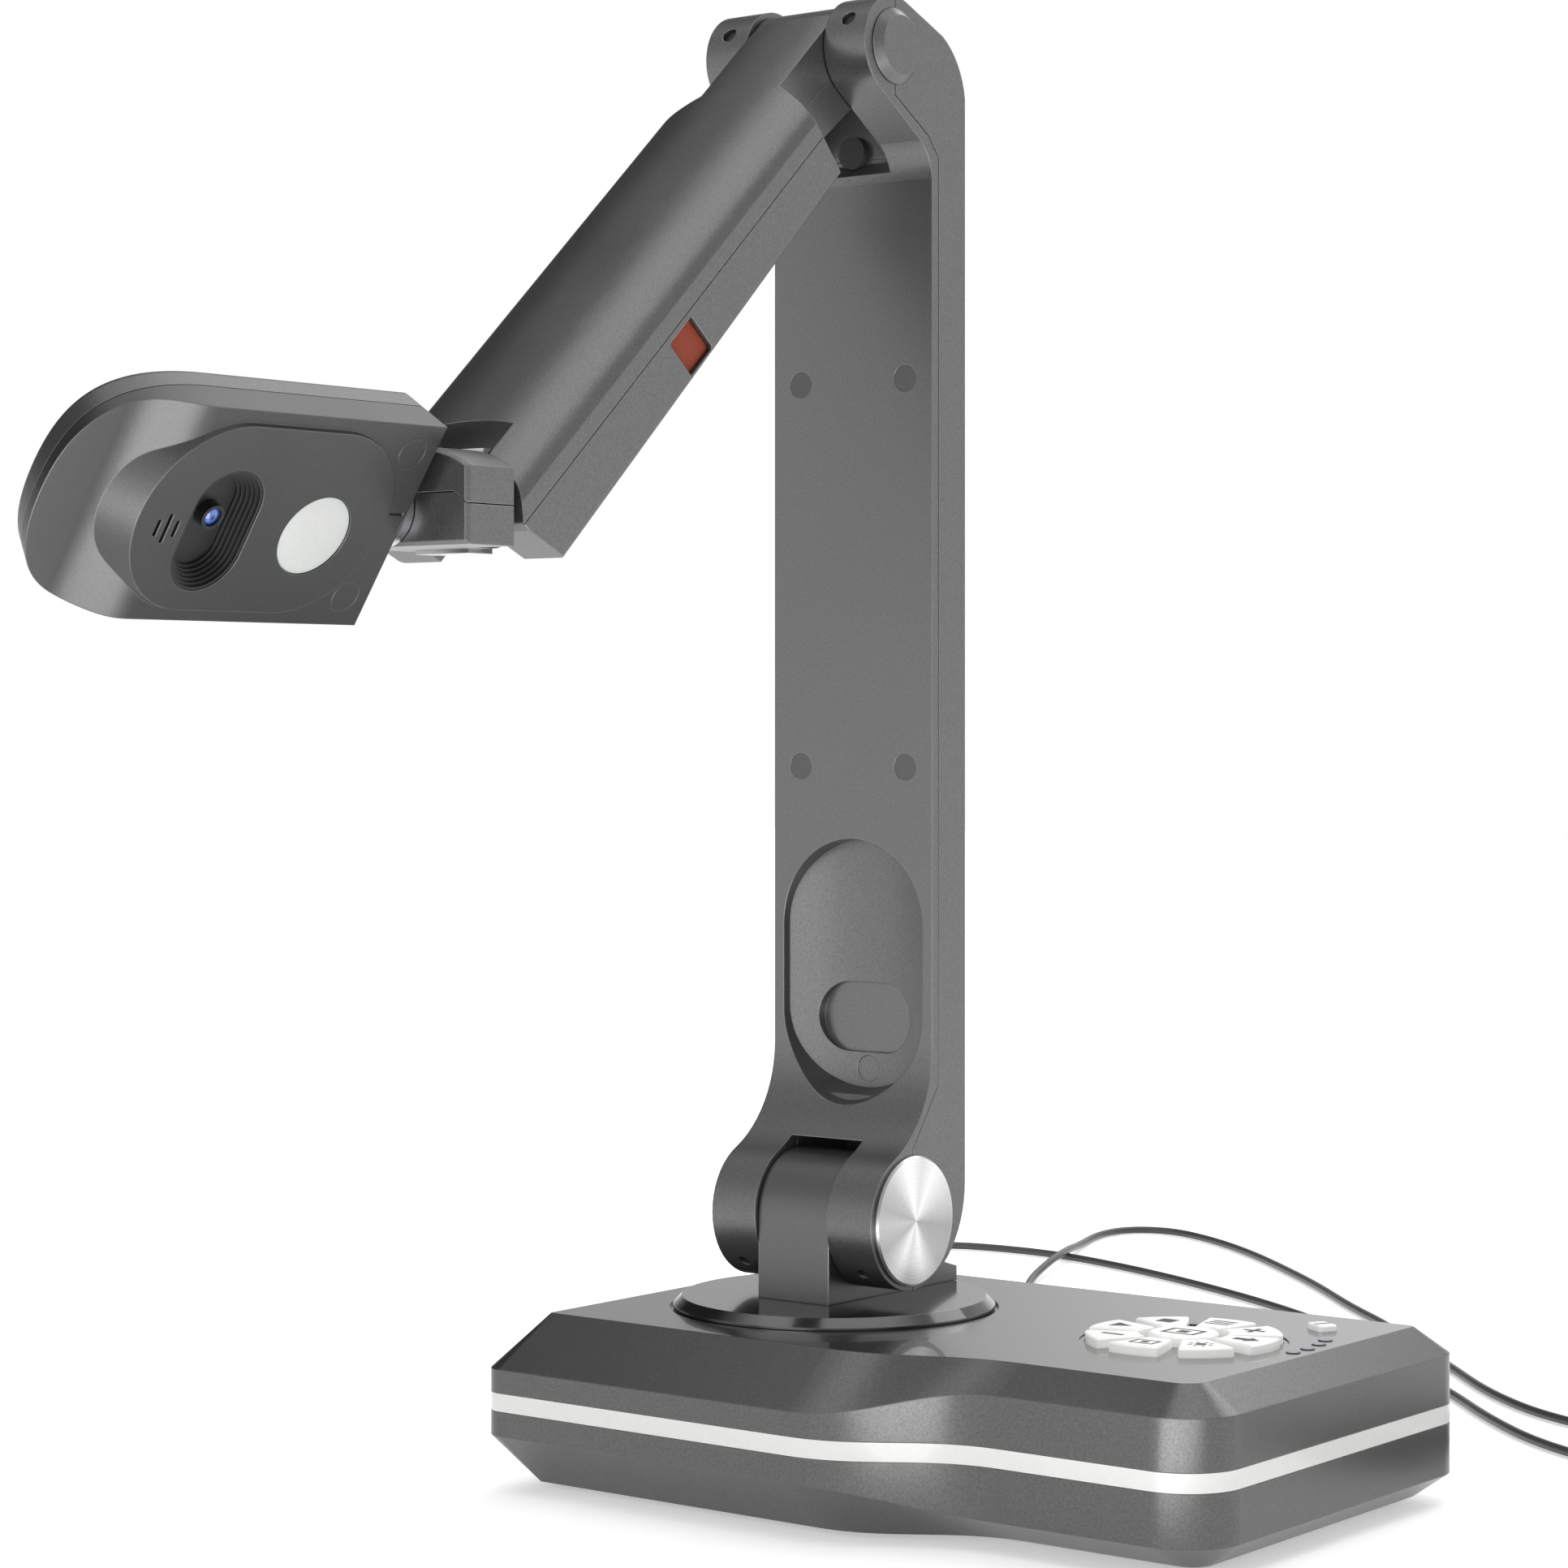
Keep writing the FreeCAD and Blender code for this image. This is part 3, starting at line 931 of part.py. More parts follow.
def cord_tube(route, name):
    """A round tube along straight runs joined by tangent arcs."""
    points = [Vec(*point) for point in route]
    edges, radii = [], []
    last = points[0]
    for before, corner, after in zip(points, points[1:], points[2:]):
        into, out = (corner - before).normalize(), (after - corner).normalize()
        turn = into.getAngle(out)
        trim = ARC_SHARE * min(before.distanceToPoint(corner), corner.distanceToPoint(after))
        radius = trim / math.tan(turn / 2)
        start, end = corner - into * trim, corner + out * trim
        inward = (out - into).normalize()
        middle = corner + inward * (radius / math.cos(turn / 2) - radius)
        edges.append(Part.LineSegment(last, start).toShape())
        edges.append(Part.Arc(start, middle, end).toShape())
        radii.append(round(radius, 1))
        last = end
    edges.append(Part.LineSegment(last, points[-1]).toShape())
    path = Part.Wire(edges)
    aim = points[1] - points[0]
    section = Part.Wire([Part.makeCircle(CORD_RADIUS, points[0], aim)])
    tube = path.makePipeShell([section], True, False)
    share = tube.Volume / (math.pi * CORD_RADIUS ** 2 * path.Length)
    print(f"{name}: length {path.Length:.0f} mm, volume share {share:.4f}, arc radii {radii}")
    return tube


def beside_coil(shape, name):
    """Turn a piece drawn along +X from the origin to lie along the cord's end beside its coil."""
    leave = polar(COILS[name], LEAVE_RADIUS, LEAVE_ANGLE)
    shape.rotate(Vec(), Vec(0, 0, 1), LEAVE_ANGLE - 90)
    shape.translate(Vec(*leave, 0))
    return shape


PLUG_START, PLUG_Z = 14, 3.8
reliefs = []
for name, x in RELIEFS.items():
    root = Part.makeCylinder(RELIEF_RADIUS + 1.6, 1.8, Vec(x, REAR - 4.8, EXIT_Z), Vec(0, 1, 0))
    neck = Part.makeCylinder(RELIEF_RADIUS - 0.05, 6, Vec(x, REAR - 4.8, EXIT_Z), Vec(0, 1, 0))
    cone = Part.makeCone(4.1, 2.3, dim("relief_length"), Vec(x, REAR, EXIT_Z), Vec(0, 1, 0))
    reliefs.append(root.common(INNER).fuse([neck, cone]).removeSplitter())
solid_node("cord_reliefs", Part.makeCompound(reliefs))
for name, centre in COILS.items():
    tube = cord_tube(ROUTES[name + "_cord"], name + "_cord")
    tail_aim = Vec(PLUG_START - 2, 0, PLUG_Z - LIE - dim("cord_diameter"))
    tail = Part.makeCylinder(CORD_RADIUS, tail_aim.Length, Vec(2, 0, LIE + dim("cord_diameter")), tail_aim)
    solid_node(name + "_cord", Part.makeCompound([tube, beside_coil(tail, name)]))
    ring = disc(COIL_OUTER, COIL_HEIGHT, *centre, 0.05)
    solid_node(name + "_coil", ring.cut(disc(COIL_INNER, COIL_HEIGHT, *centre, 0.05)))
    sleeve = Part.makeCone(2.3, 3.2, 9, Vec(PLUG_START, 0, PLUG_Z), Vec(1, 0, 0))
    grip = block(PLUG_START + 9, PLUG_START + 29, -6.2, 6.2, 0.1, 7.5)
    grip = grip.makeFillet(1.2, [edge for edge in grip.Edges if edge.BoundBox.XLength > 15])
    shell = block(PLUG_START + 28, PLUG_START + 41, -6, 6, 1.55, 6.05)
    solid_node(name + "_plug", beside_coil(sleeve.fuse([grip, shell]), name))

# ------------------------------------------------------------------------------- check and write out
doc.recompute()
for item in doc.Objects:
    if "Invalid" in item.State or "Error" in item.State:
        raise RuntimeError(f"{item.Label} failed: {item.State}")
for item in NODES:
    if item.Shape.isNull() or not item.Shape.isValid() or not item.Shape.Solids:
        raise RuntimeError(f"{item.Label} has no valid solid")
os.makedirs("parts", exist_ok=True)
for item in NODES:
    item.Shape.exportStep(os.path.join("parts", item.Label + ".step"))
print(f"{len(NODES)} sub-parts written")
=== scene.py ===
import math

import bmesh
import bpy
from mathutils import Matrix, Vector


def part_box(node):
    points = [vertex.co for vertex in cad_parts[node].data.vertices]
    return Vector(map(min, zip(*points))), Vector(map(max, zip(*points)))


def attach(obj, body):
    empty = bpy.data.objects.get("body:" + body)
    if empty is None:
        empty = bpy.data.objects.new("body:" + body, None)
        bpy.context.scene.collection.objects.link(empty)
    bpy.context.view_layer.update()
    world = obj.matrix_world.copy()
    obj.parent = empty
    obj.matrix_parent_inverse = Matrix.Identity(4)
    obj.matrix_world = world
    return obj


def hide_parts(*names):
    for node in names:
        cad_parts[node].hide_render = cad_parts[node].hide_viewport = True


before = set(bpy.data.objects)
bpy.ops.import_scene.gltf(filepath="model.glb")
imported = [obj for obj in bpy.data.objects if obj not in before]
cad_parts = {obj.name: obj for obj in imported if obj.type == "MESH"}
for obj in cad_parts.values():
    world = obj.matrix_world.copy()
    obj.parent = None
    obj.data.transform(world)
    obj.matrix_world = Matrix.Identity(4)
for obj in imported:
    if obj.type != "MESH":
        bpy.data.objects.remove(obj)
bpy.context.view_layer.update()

# ------------------------------------------------------------------------------------ camera
# The camera looks level from the front right, from about half the stand's height. Its frame is
# square, and the shift is a share of the frame's width.
CAMERA_PLACE = (0.7148, -1.028, 0.2604)
CAMERA_YAW = math.radians(37.8)
SENSOR_WIDTH = 36
FOCAL_LENGTH = 85.7143
SHIFT_DOWN = 0.0422878
camera_data = bpy.data.cameras.new("camera")
camera = bpy.data.objects.new("camera", camera_data)
bpy.context.collection.objects.link(camera)
camera.location = CAMERA_PLACE
camera.rotation_euler = (math.radians(90), 0, CAMERA_YAW)
camera_data.sensor_width = SENSOR_WIDTH
camera_data.lens = FOCAL_LENGTH
camera_data.shift_y = -SHIFT_DOWN
camera_data.clip_start = 0.05
camera_data.clip_end = 30
bpy.context.scene.camera = camera


# ------------------------------------------------------------------------------------- tools
def shader(name, colour, roughness=0.5, metallic=0.0, **sockets):
    """A node material with a Principled shader; further arguments name its sockets."""
    material = bpy.data.materials.new(name)
    material.use_nodes = True
    bsdf = material.node_tree.nodes["Principled BSDF"]
    bsdf.inputs["Base Color"].default_value = (*colour, 1)
    bsdf.inputs["Roughness"].default_value = roughness
    bsdf.inputs["Metallic"].default_value = metallic
    for key, value in sockets.items():
        bsdf.inputs[key.replace("_", " ")].default_value = value
    return material


def add(material, kind, **settings):
    """A node of that kind; settings that name an input set its value, others set a property."""
    node = material.node_tree.nodes.new(kind)
    for key, value in settings.items():
        if key in node.inputs:
            node.inputs[key].default_value = value
        else:
            setattr(node, key, value)
    return node


def link(material, source, output, target, entry):
    """Join two nodes; a Mix node's sockets are found by its own data type."""
    outlet, inlet = source.outputs[output], target.inputs[entry]
    if source.bl_idname == "ShaderNodeMix":
        outlet = source.outputs[2]
    if target.bl_idname == "ShaderNodeMix":
        inlet = target.inputs[{"Factor": 0, "A": 6, "B": 7}[entry]]
    material.node_tree.links.new(outlet, inlet)


def ramp(material, source, output, low, high, first, second):
    """A colour ramp between two places and colours, fed by another node's output."""
    node = add(material, "ShaderNodeValToRGB")
    node.color_ramp.elements[0].position = low
    node.color_ramp.elements[1].position = high
    node.color_ramp.elements[0].color = (*first, 1)
    node.color_ramp.elements[1].color = (*second, 1)
    link(material, source, output, node, "Fac")
    return node


def noise(material, scale, detail):
    """Noise in object space, in features per metre."""
    where = add(material, "ShaderNodeTexCoord")
    made = add(material, "ShaderNodeTexNoise", Scale=scale, Detail=detail, Roughness=0.5)
    link(material, where, "Object", made, "Vector")
    return made


def shade(colour, factor):
    """That colour, lighter or darker by a factor."""
    return tuple(min(1, channel * factor) for channel in colour)


# Features per metre of the broad mottling, the height in metres of the grain's bumps, and how much
# of its colour a surface keeps where the painted shade in a crevice is darkest.
MOTTLING_SCALE = 26
GRAIN_HEIGHT = 0.0002
CREVICE_SHADE_KEEPS = 0.08


def moulded(name, colour, roughness=0.42, fleck=0.04, grain=2600, depth=0.12, wear=0.10,
            edge=0.0, brighten=0.25, crevice=0.0, **sockets):
    """Moulded or painted stock: fine grain, faint mottling, painted highlights on edges and painted
    shade in crevices.

    fleck is the grain's change of brightness, grain its features per metre and depth its bump.
    wear varies the roughness, and slightly the brightness, in broad patches. edge and crevice are
    distances in metres, and 0 leaves them out; brighten is how much lighter the painted edge highlight
    is.
    Further arguments name the shader's sockets.
    """
    material = shader(name, colour, roughness, **sockets)
    bsdf = material.node_tree.nodes["Principled BSDF"]
    fine = noise(material, grain, 2.0)
    broad = noise(material, MOTTLING_SCALE, 3.0)
    tint = ramp(material, fine, "Fac", 0.35, 0.65, shade(colour, 1 - fleck), shade(colour, 1 + fleck))
    patch = ramp(material, broad, "Fac", 0.3, 0.7, (1 - wear * 0.35,) * 3, (1.0,) * 3)
    mix = add(material, "ShaderNodeMix", data_type="RGBA", blend_type="MULTIPLY")
    mix.inputs[0].default_value = 1
    link(material, tint, "Color", mix, "A")
    link(material, patch, "Color", mix, "B")
    link(material, mix, "Result", bsdf, "Base Color")
    gloss = ramp(material, broad, "Fac", 0.25, 0.75, (roughness * (1 - wear),) * 3,
                 (roughness * (1 + wear),) * 3)
    link(material, gloss, "Color", bsdf, "Roughness")
    bump = add(material, "ShaderNodeBump", Strength=depth, Distance=GRAIN_HEIGHT)
    link(material, fine, "Fac", bump, "Height")
    link(material, bump, "Normal", bsdf, "Normal")
    # The bevel rounds the shading of edges, and the rim mask also lightens the colour there: a painted
    # highlight.
    if edge:
        round_edge = add(material, "ShaderNodeBevel", samples=4, Radius=edge)
        link(material, round_edge, "Normal", bump, "Normal")
        plain = add(material, "ShaderNodeNewGeometry")
        turned = add(material, "ShaderNodeVectorMath", operation="DOT_PRODUCT")
        link(material, round_edge, "Normal", turned, 0)
        link(material, plain, "Normal", turned, 1)
        rim = ramp(material, turned, "Value", 0.80, 0.995, (1, 1, 1), (0, 0, 0))
        edge_highlight = add(material, "ShaderNodeMix", data_type="RGBA", blend_type="MIX")
        link(material, rim, "Color", edge_highlight, "Factor")
        link(material, mix, "Result", edge_highlight, "A")
        edge_highlight.inputs[7].default_value = (*shade(colour, 1 + brighten), 1)
        link(material, edge_highlight, "Result", bsdf, "Base Color")
        mix = edge_highlight
    # Ambient occlusion darkens the colour in crevices, grooves and seams: painted shade.
    if crevice:
        open_sky = add(material, "ShaderNodeAmbientOcclusion", samples=6, Distance=crevice)
        shade_ramp = ramp(material, open_sky, "AO", 0.30, 0.70, (CREVICE_SHADE_KEEPS,) * 3, (1.0,) * 3)
        crevice_shade = add(material, "ShaderNodeMix", data_type="RGBA", blend_type="MULTIPLY")
        crevice_shade.inputs[0].default_value = 1
        link(material, mix, "Result", crevice_shade, "A")
        link(material, shade_ramp, "Color", crevice_shade, "B")
        link(material, crevice_shade, "Result", bsdf, "Base Color")
    return material


def polished_top(material, weight):
    """A clear gloss on the faces that look straight up, and none on walls and slopes."""
    surface = add(material, "ShaderNodeNewGeometry")
    parts = add(material, "ShaderNodeSeparateXYZ")
    link(material, surface, "Normal", parts, 0)
    facing = add(material, "ShaderNodeMapRange")
    facing.inputs["From Min"].default_value = 0.97
    facing.inputs["From Max"].default_value = 0.999
    facing.inputs["To Max"].default_value = weight
    link(material, parts, "Z", facing, "Value")
    bsdf = material.node_tree.nodes["Principled BSDF"]
    link(material, facing, "Result", bsdf, "Coat Weight")


def paint(node, material):
    """Give a CAD node that material on every face."""
    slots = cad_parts[node].data.materials
    slots.clear()
    slots.append(material)


def mesh_object(name, vertices, faces, material):
    """A flat-shaded mesh of those corners and faces."""
    mesh = bpy.data.meshes.new(name)
    mesh.from_pydata([tuple(v) for v in vertices], [], faces)
    mesh.validate()
    mesh.update()
    made = bpy.data.objects.new(name, mesh)
    bpy.context.collection.objects.link(made)
    mesh.materials.append(material)
    return made


# --------------------------------------------------------------------------------- materials
GREY = (0.158, 0.158, 0.159)
STAND = moulded("stand_grey", GREY, 0.34, fleck=0.13, grain=1900, depth=0.10, wear=0.06,
                edge=0.0005, brighten=1.0, crevice=0.0012, Metallic=0.82)
CABLE = moulded("cord_jacket", (0.055, 0.056, 0.058), 0.34, fleck=0.10, grain=1800, depth=0.10)
PLUG = moulded("plug_black", (0.020, 0.020, 0.022), 0.45, fleck=0.10)
STEEL = moulded("bright_steel", (0.60, 0.60, 0.62), 0.22, fleck=0.03, depth=0.03, Metallic=1.0)

# ------------------------------------------------------------------------------------- cords
# Routes, coils and plugs are in millimetres, and MM turns them into metres. LIE is the height of a
# cord's middle where it lies on the desk.
MM = 0.001
CORD_THICK = 3.4
LIE = CORD_THICK / 2 + 0.05
ROUTES = {
    "power": [
        (-96, 119.5, 22), (-96.5, 133, 21), (-99, 149, 12), (-106, 166, 3.6), (-120, 188, LIE),
        (-143, 217, LIE), (-177, 255, LIE), (-219, 289, LIE), (-262, 327, LIE), (-301, 370, LIE),
        (-333, 414, LIE), (-354, 450, LIE), (-345, 469, LIE), (-319, 475, LIE), (-281, 474, LIE),
        (-234, 458.5, LIE), (-189, 438.5, LIE), (-146, 416, LIE), (-105, 391, LIE), (-66, 362, LIE),
        (-27, 321, LIE), (9, 287, LIE), (41, 258, LIE), (74, 222, LIE), (111, 188.5, LIE),
        (150, 169, LIE)],
    "data": [
        (-62, 119.5, 22), (-62, 133, 21), (-64, 149, 12), (-70, 166, 3.6), (-82, 190, LIE),
        (-106, 224, LIE), (-140, 266, LIE), (-178, 303, LIE), (-215, 346, LIE), (-245, 391, LIE),
        (-259, 430, 5.6), (-274, 468, 5.6), (-293, 508, LIE), (-307, 547, LIE), (-304, 571, LIE),
        (-283, 579, LIE), (-249, 562, LIE), (-211, 534, LIE), (-172, 499, LIE), (-134, 463, LIE),
        (-93, 419.5, LIE), (-57, 386, LIE), (-20, 345, LIE), (15, 308, LIE), (51, 268, LIE),
        (91, 236, LIE), (133, 223, LIE)],
}
COILS = {"power": (190, 136), "data": (172, 200)}
OUTER, MIDDLE, INNER = 22.4, 19, 15.6
# Each row: the angle in degrees where a stretch of the coil ends, its radius there and its layer.
COIL_STRETCHES = [(80, OUTER, 0), (-230, OUTER, 0), (-280, MIDDLE, 0), (-590, MIDDLE, 0),
                  (-640, INNER, 0), (-950, INNER, 0), (-1000, INNER, 1), (-1260, INNER, 1),
                  (-1310, MIDDLE, 1), (-1620, MIDDLE, 1), (-1670, OUTER, 1), (-1740, OUTER, 1)]
COIL_STEP = 14
LEAVE_ANGLE = math.radians(60)
# Each row: how far past the coil a point of the straight end is, and how high.
STRAIGHT_END = [(5, 4.9), (10, 4.1), (14, 3.8)]


def coil_points(centre):
    """Turns that lie beside and on each other, wound inwards below and outwards above."""
    made = []
    angle = COIL_STRETCHES[0][0]
    # the spline runs a little inside its points
    swell = 1 / math.cos(math.radians(COIL_STEP / 3))
    for (start, radius, layer), (end, next_radius, next_layer) in zip(COIL_STRETCHES,
                                                                      COIL_STRETCHES[1:]):
        while angle > end:
            share = (start - angle) / (start - end)
            rise = math.sqrt(1 - (1 - share) ** 2) if next_layer > layer else share
            across = radius + (next_radius - radius) * share
            height = LIE + CORD_THICK * (layer + (next_layer - layer) * rise)
            turn = math.radians(angle)
            made.append((centre[0] + across * swell * math.cos(turn),
                         centre[1] + across * swell * math.sin(turn), height))
            angle -= COIL_STEP
    return made


def beside(centre, along, height):
    """A point on the straight end that leaves the coil, so far along it."""
    x = centre[0] + OUTER * math.cos(LEAVE_ANGLE) + along * math.sin(LEAVE_ANGLE)
    y = centre[1] + OUTER * math.sin(LEAVE_ANGLE) - along * math.cos(LEAVE_ANGLE)
    return (x, y, height)


def spline(name, points, thick, material):
    """A round cord along a smooth line through the neighbourhood of its points."""
    curve = bpy.data.curves.new(name, "CURVE")
    curve.dimensions = "3D"
    line = curve.splines.new("NURBS")
    line.points.add(len(points) - 1)
    for target, point in zip(line.points, points):
        target.co = (*[value * MM for value in point], 1)
    line.order_u = 3
    line.use_endpoint_u = True
    line.resolution_u = 6
    curve.bevel_depth = thick * MM / 2
    curve.bevel_resolution = 5
    curve.use_fill_caps = True
    made = bpy.data.objects.new(name, curve)
    bpy.context.collection.objects.link(made)
    curve.materials.append(material)
    return made


# The plug's ribbed sleeve starts where the lead's straight end stops, and its axis is that high.
SLEEVE_START, SLEEVE_LENGTH, PLUG_AXIS = 14.0, 9, 3.8
SLEEVE_RIBS = 6
RIB_DEPTH = 0.28
SLEEVE_SIDES = 24
GRIP_BARS = 5
BAR_PITCH = 2.2
# The dark plate across the steel shell's mouth is painted shade in the opening.
MOUTH_SHADE = moulded("plug_mouth_shade", (0.02, 0.02, 0.02), 0.5)


def bar(bm, along, half_width, heights, bevel, index):
    """A bevelled bar in the plug's mesh, with the material of that index."""
    made = bmesh.ops.create_cube(bm, size=1)["verts"]
    for vert in made:
        vert.co = Vector((along[0] + (vert.co.x + 0.5) * (along[1] - along[0]),
                          vert.co.y * 2 * half_width,
                          heights[0] + (vert.co.z + 0.5) * (heights[1] - heights[0]))) * MM
    edges = {edge for vert in made for edge in vert.link_edges}
    faces = {face for vert in made for face in vert.link_faces}
    for face in faces:
        face.material_index = index
    out = bmesh.ops.bevel(bm, geom=list(edges), offset=bevel * MM, segments=3, profile=0.6,
                          affect="EDGES")
    for face in out["faces"]:
        face.material_index = index


def plug(name, centre):
    """A moulded USB plug on the end of a lead: ribbed sleeve, grip with raised bars, steel mouth."""
    mesh = bpy.data.meshes.new(name)
    bm = bmesh.new()
    rings = []
    for index in range(SLEEVE_RIBS * 2 + 1):
        share = index / (SLEEVE_RIBS * 2)
        radius = 2.3 + 0.9 * share - (RIB_DEPTH if index % 2 else 0.0)
        for offset in (0.0, 0.42):
            rings.append((SLEEVE_START + SLEEVE_LENGTH * share + offset * 0.75 - 0.1, radius))
    turns = [2 * math.pi * k / SLEEVE_SIDES for k in range(SLEEVE_SIDES)]
    loops = []
    for along, radius in rings:
        loops.append([bm.verts.new((along * MM, radius * math.cos(turn) * MM,
                                    (PLUG_AXIS + radius * math.sin(turn)) * MM))
                      for turn in turns])
    for one, other in zip(loops, loops[1:]):
        for k in range(SLEEVE_SIDES):
            after = (k + 1) % SLEEVE_SIDES
            bm.faces.new((one[k], other[k], other[after], one[after]))
    bm.faces.new(loops[0])
    bm.faces.new(loops[-1][::-1])
    # the grip, its raised bars, the steel shell and a dark plate across its mouth that is painted
    # shade
    bar(bm, (23, 43), 6.2, (0.1, 7.5), 1.2, 0)
    for step in range(GRIP_BARS):
        shift = step * BAR_PITCH
        bar(bm, (27 + shift, 28 + shift), 5.0, (7.42, 7.62), 0.08, 0)
    bar(bm, (42, 55), 6.0, (1.55, 6.05), 0.35, 1)
    bar(bm, (54.9, 55.05), 5.4, (2.0, 5.6), 0.02, 2)
    bm.normal_update()
    bm.to_mesh(mesh)
    bm.free()
    turn = Matrix.Rotation(LEAVE_ANGLE - math.pi / 2, 4, "Z")
    place = Matrix.Translation(Vector(beside(centre, 0, 0)) * MM)
    mesh.transform(place @ turn)
    made = bpy.data.objects.new(name, mesh)
    bpy.context.collection.objects.link(made)
    for item in (PLUG, STEEL, MOUTH_SHADE):
        mesh.materials.append(item)
    return made


for name, route in ROUTES.items():
    centre = COILS[name]
    straight = [beside(centre, along, height) for along, height in STRAIGHT_END]
    points = route + coil_points(centre) + straight
    lead = spline(name + "_lead", points, CORD_THICK, CABLE)
    end = plug(name + "_lead_plug", centre)
    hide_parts(name + "_cord", name + "_coil")
    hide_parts(name + "_plug")
    for piece, slot in ((lead, "cord_black"), (end, "plug_black")):
        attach(piece, "base")

# ---------------------------------------------------------------------- the frame's own nodes
TOP_GLOSS = 0.5
PAINT = moulded("console_paint", (0.116, 0.116, 0.118), 0.27, fleck=0.14, grain=1600, depth=0.09,
                wear=0.02, edge=0.0006, brighten=0.6, crevice=0.0012, Metallic=0.78,
                Coat_Roughness=0.025)
DISC = moulded("disc_gloss", (0.085, 0.085, 0.087), 0.14, fleck=0.08, grain=1700, depth=0.05,
               wear=0.02, edge=0.0006, brighten=1.6, Metallic=0.85, Coat_Weight=0.35,
               Coat_Roughness=0.03)
PEDESTAL = moulded("pedestal_alloy", (0.135, 0.135, 0.136), 0.30, fleck=0.05, grain=2400, depth=0.08,
                   edge=0.0008, brighten=1.2, Metallic=0.85)
# A darker copy of the stand's finish for the head's lens shell and its screw plugs: painted shade.
SHADED_STAND_GREY = moulded("lens_shell_shaded_grey", (0.090, 0.090, 0.091), 0.34, fleck=0.07, grain=2200,
                    depth=0.10, wear=0.06, edge=0.0005, brighten=1.2, crevice=0.0012, Metallic=0.82)
STRIP = moulded("strip_white", (0.71, 0.705, 0.69), 0.24, fleck=0.012, grain=500, depth=0.03,
                wear=0.03, Coat_Weight=0.4, Coat_Roughness=0.05)
# The keys' faint emission is painted light that makes them brighter; they are not lamps.
KEYCAP = moulded("key_white", (0.88, 0.88, 0.87), 0.22, fleck=0.012, grain=700, depth=0.03,
                 wear=0.05, edge=0.0003, brighten=0.1, Coat_Weight=0.4, Coat_Roughness=0.04,
                 Emission_Color=(1, 1, 0.98, 1), Emission_Strength=0.22)
RUBBER = moulded("soft_black", (0.024, 0.024, 0.025), 0.62, fleck=0.16, grain=1200, depth=0.3)
DARK = moulded("lens_black", (0.010, 0.010, 0.011), 0.38, fleck=0.12, grain=2400, depth=0.10,
               edge=0.0003, brighten=0.8)
STOPPER = moulded("plug_grey", (0.075, 0.075, 0.076), 0.50, fleck=0.08, grain=1900, depth=0.14)
ORANGE = moulded("button_orange", (0.235, 0.040, 0.018), 0.45, fleck=0.08, grain=900, depth=0.06,
                 edge=0.0004, brighten=0.2, crevice=0.0015, Specular_IOR_Level=0.2)
DIFFUSER = moulded("diffuser_white", (0.46, 0.47, 0.46), 0.34, fleck=0.02, grain=600, depth=0.04,
                   wear=0.05, Subsurface_Weight=0.25, Subsurface_Scale=0.004)
LENSLET = moulded("indicator_clear", (0.07, 0.09, 0.20), 0.18, fleck=0.03, grain=600, depth=0.03,
                  Coat_Weight=0.2, Coat_Roughness=0.02)
IRON = moulded("weight_iron", (0.10, 0.10, 0.105), 0.62, fleck=0.25, grain=500, depth=0.5,
               Metallic=0.8)
BOARD = moulded("board_green", (0.018, 0.115, 0.055), 0.38, fleck=0.20, grain=900, depth=0.1)
NYLON = moulded("washer_nylon", (0.70, 0.70, 0.67), 0.42, fleck=0.03, grain=700, depth=0.1)
polished_top(PAINT, TOP_GLOSS)

# Each row: a share of the way round a cap, and how bright the painted sweep of reflected light is
# there.
SWEEPS = [(0.0, 0.62), (0.07, 0.50), (0.16, 0.92), (0.21, 0.70), (0.28, 0.96), (0.36, 0.52),
          (0.47, 0.42), (0.56, 0.66), (0.66, 0.95), (0.72, 0.74), (0.79, 0.98), (0.88, 0.60),
          (0.95, 0.48), (1.0, 0.62)]
SWEEP_GAIN = 1.25
TURNING_SCALE = 1800


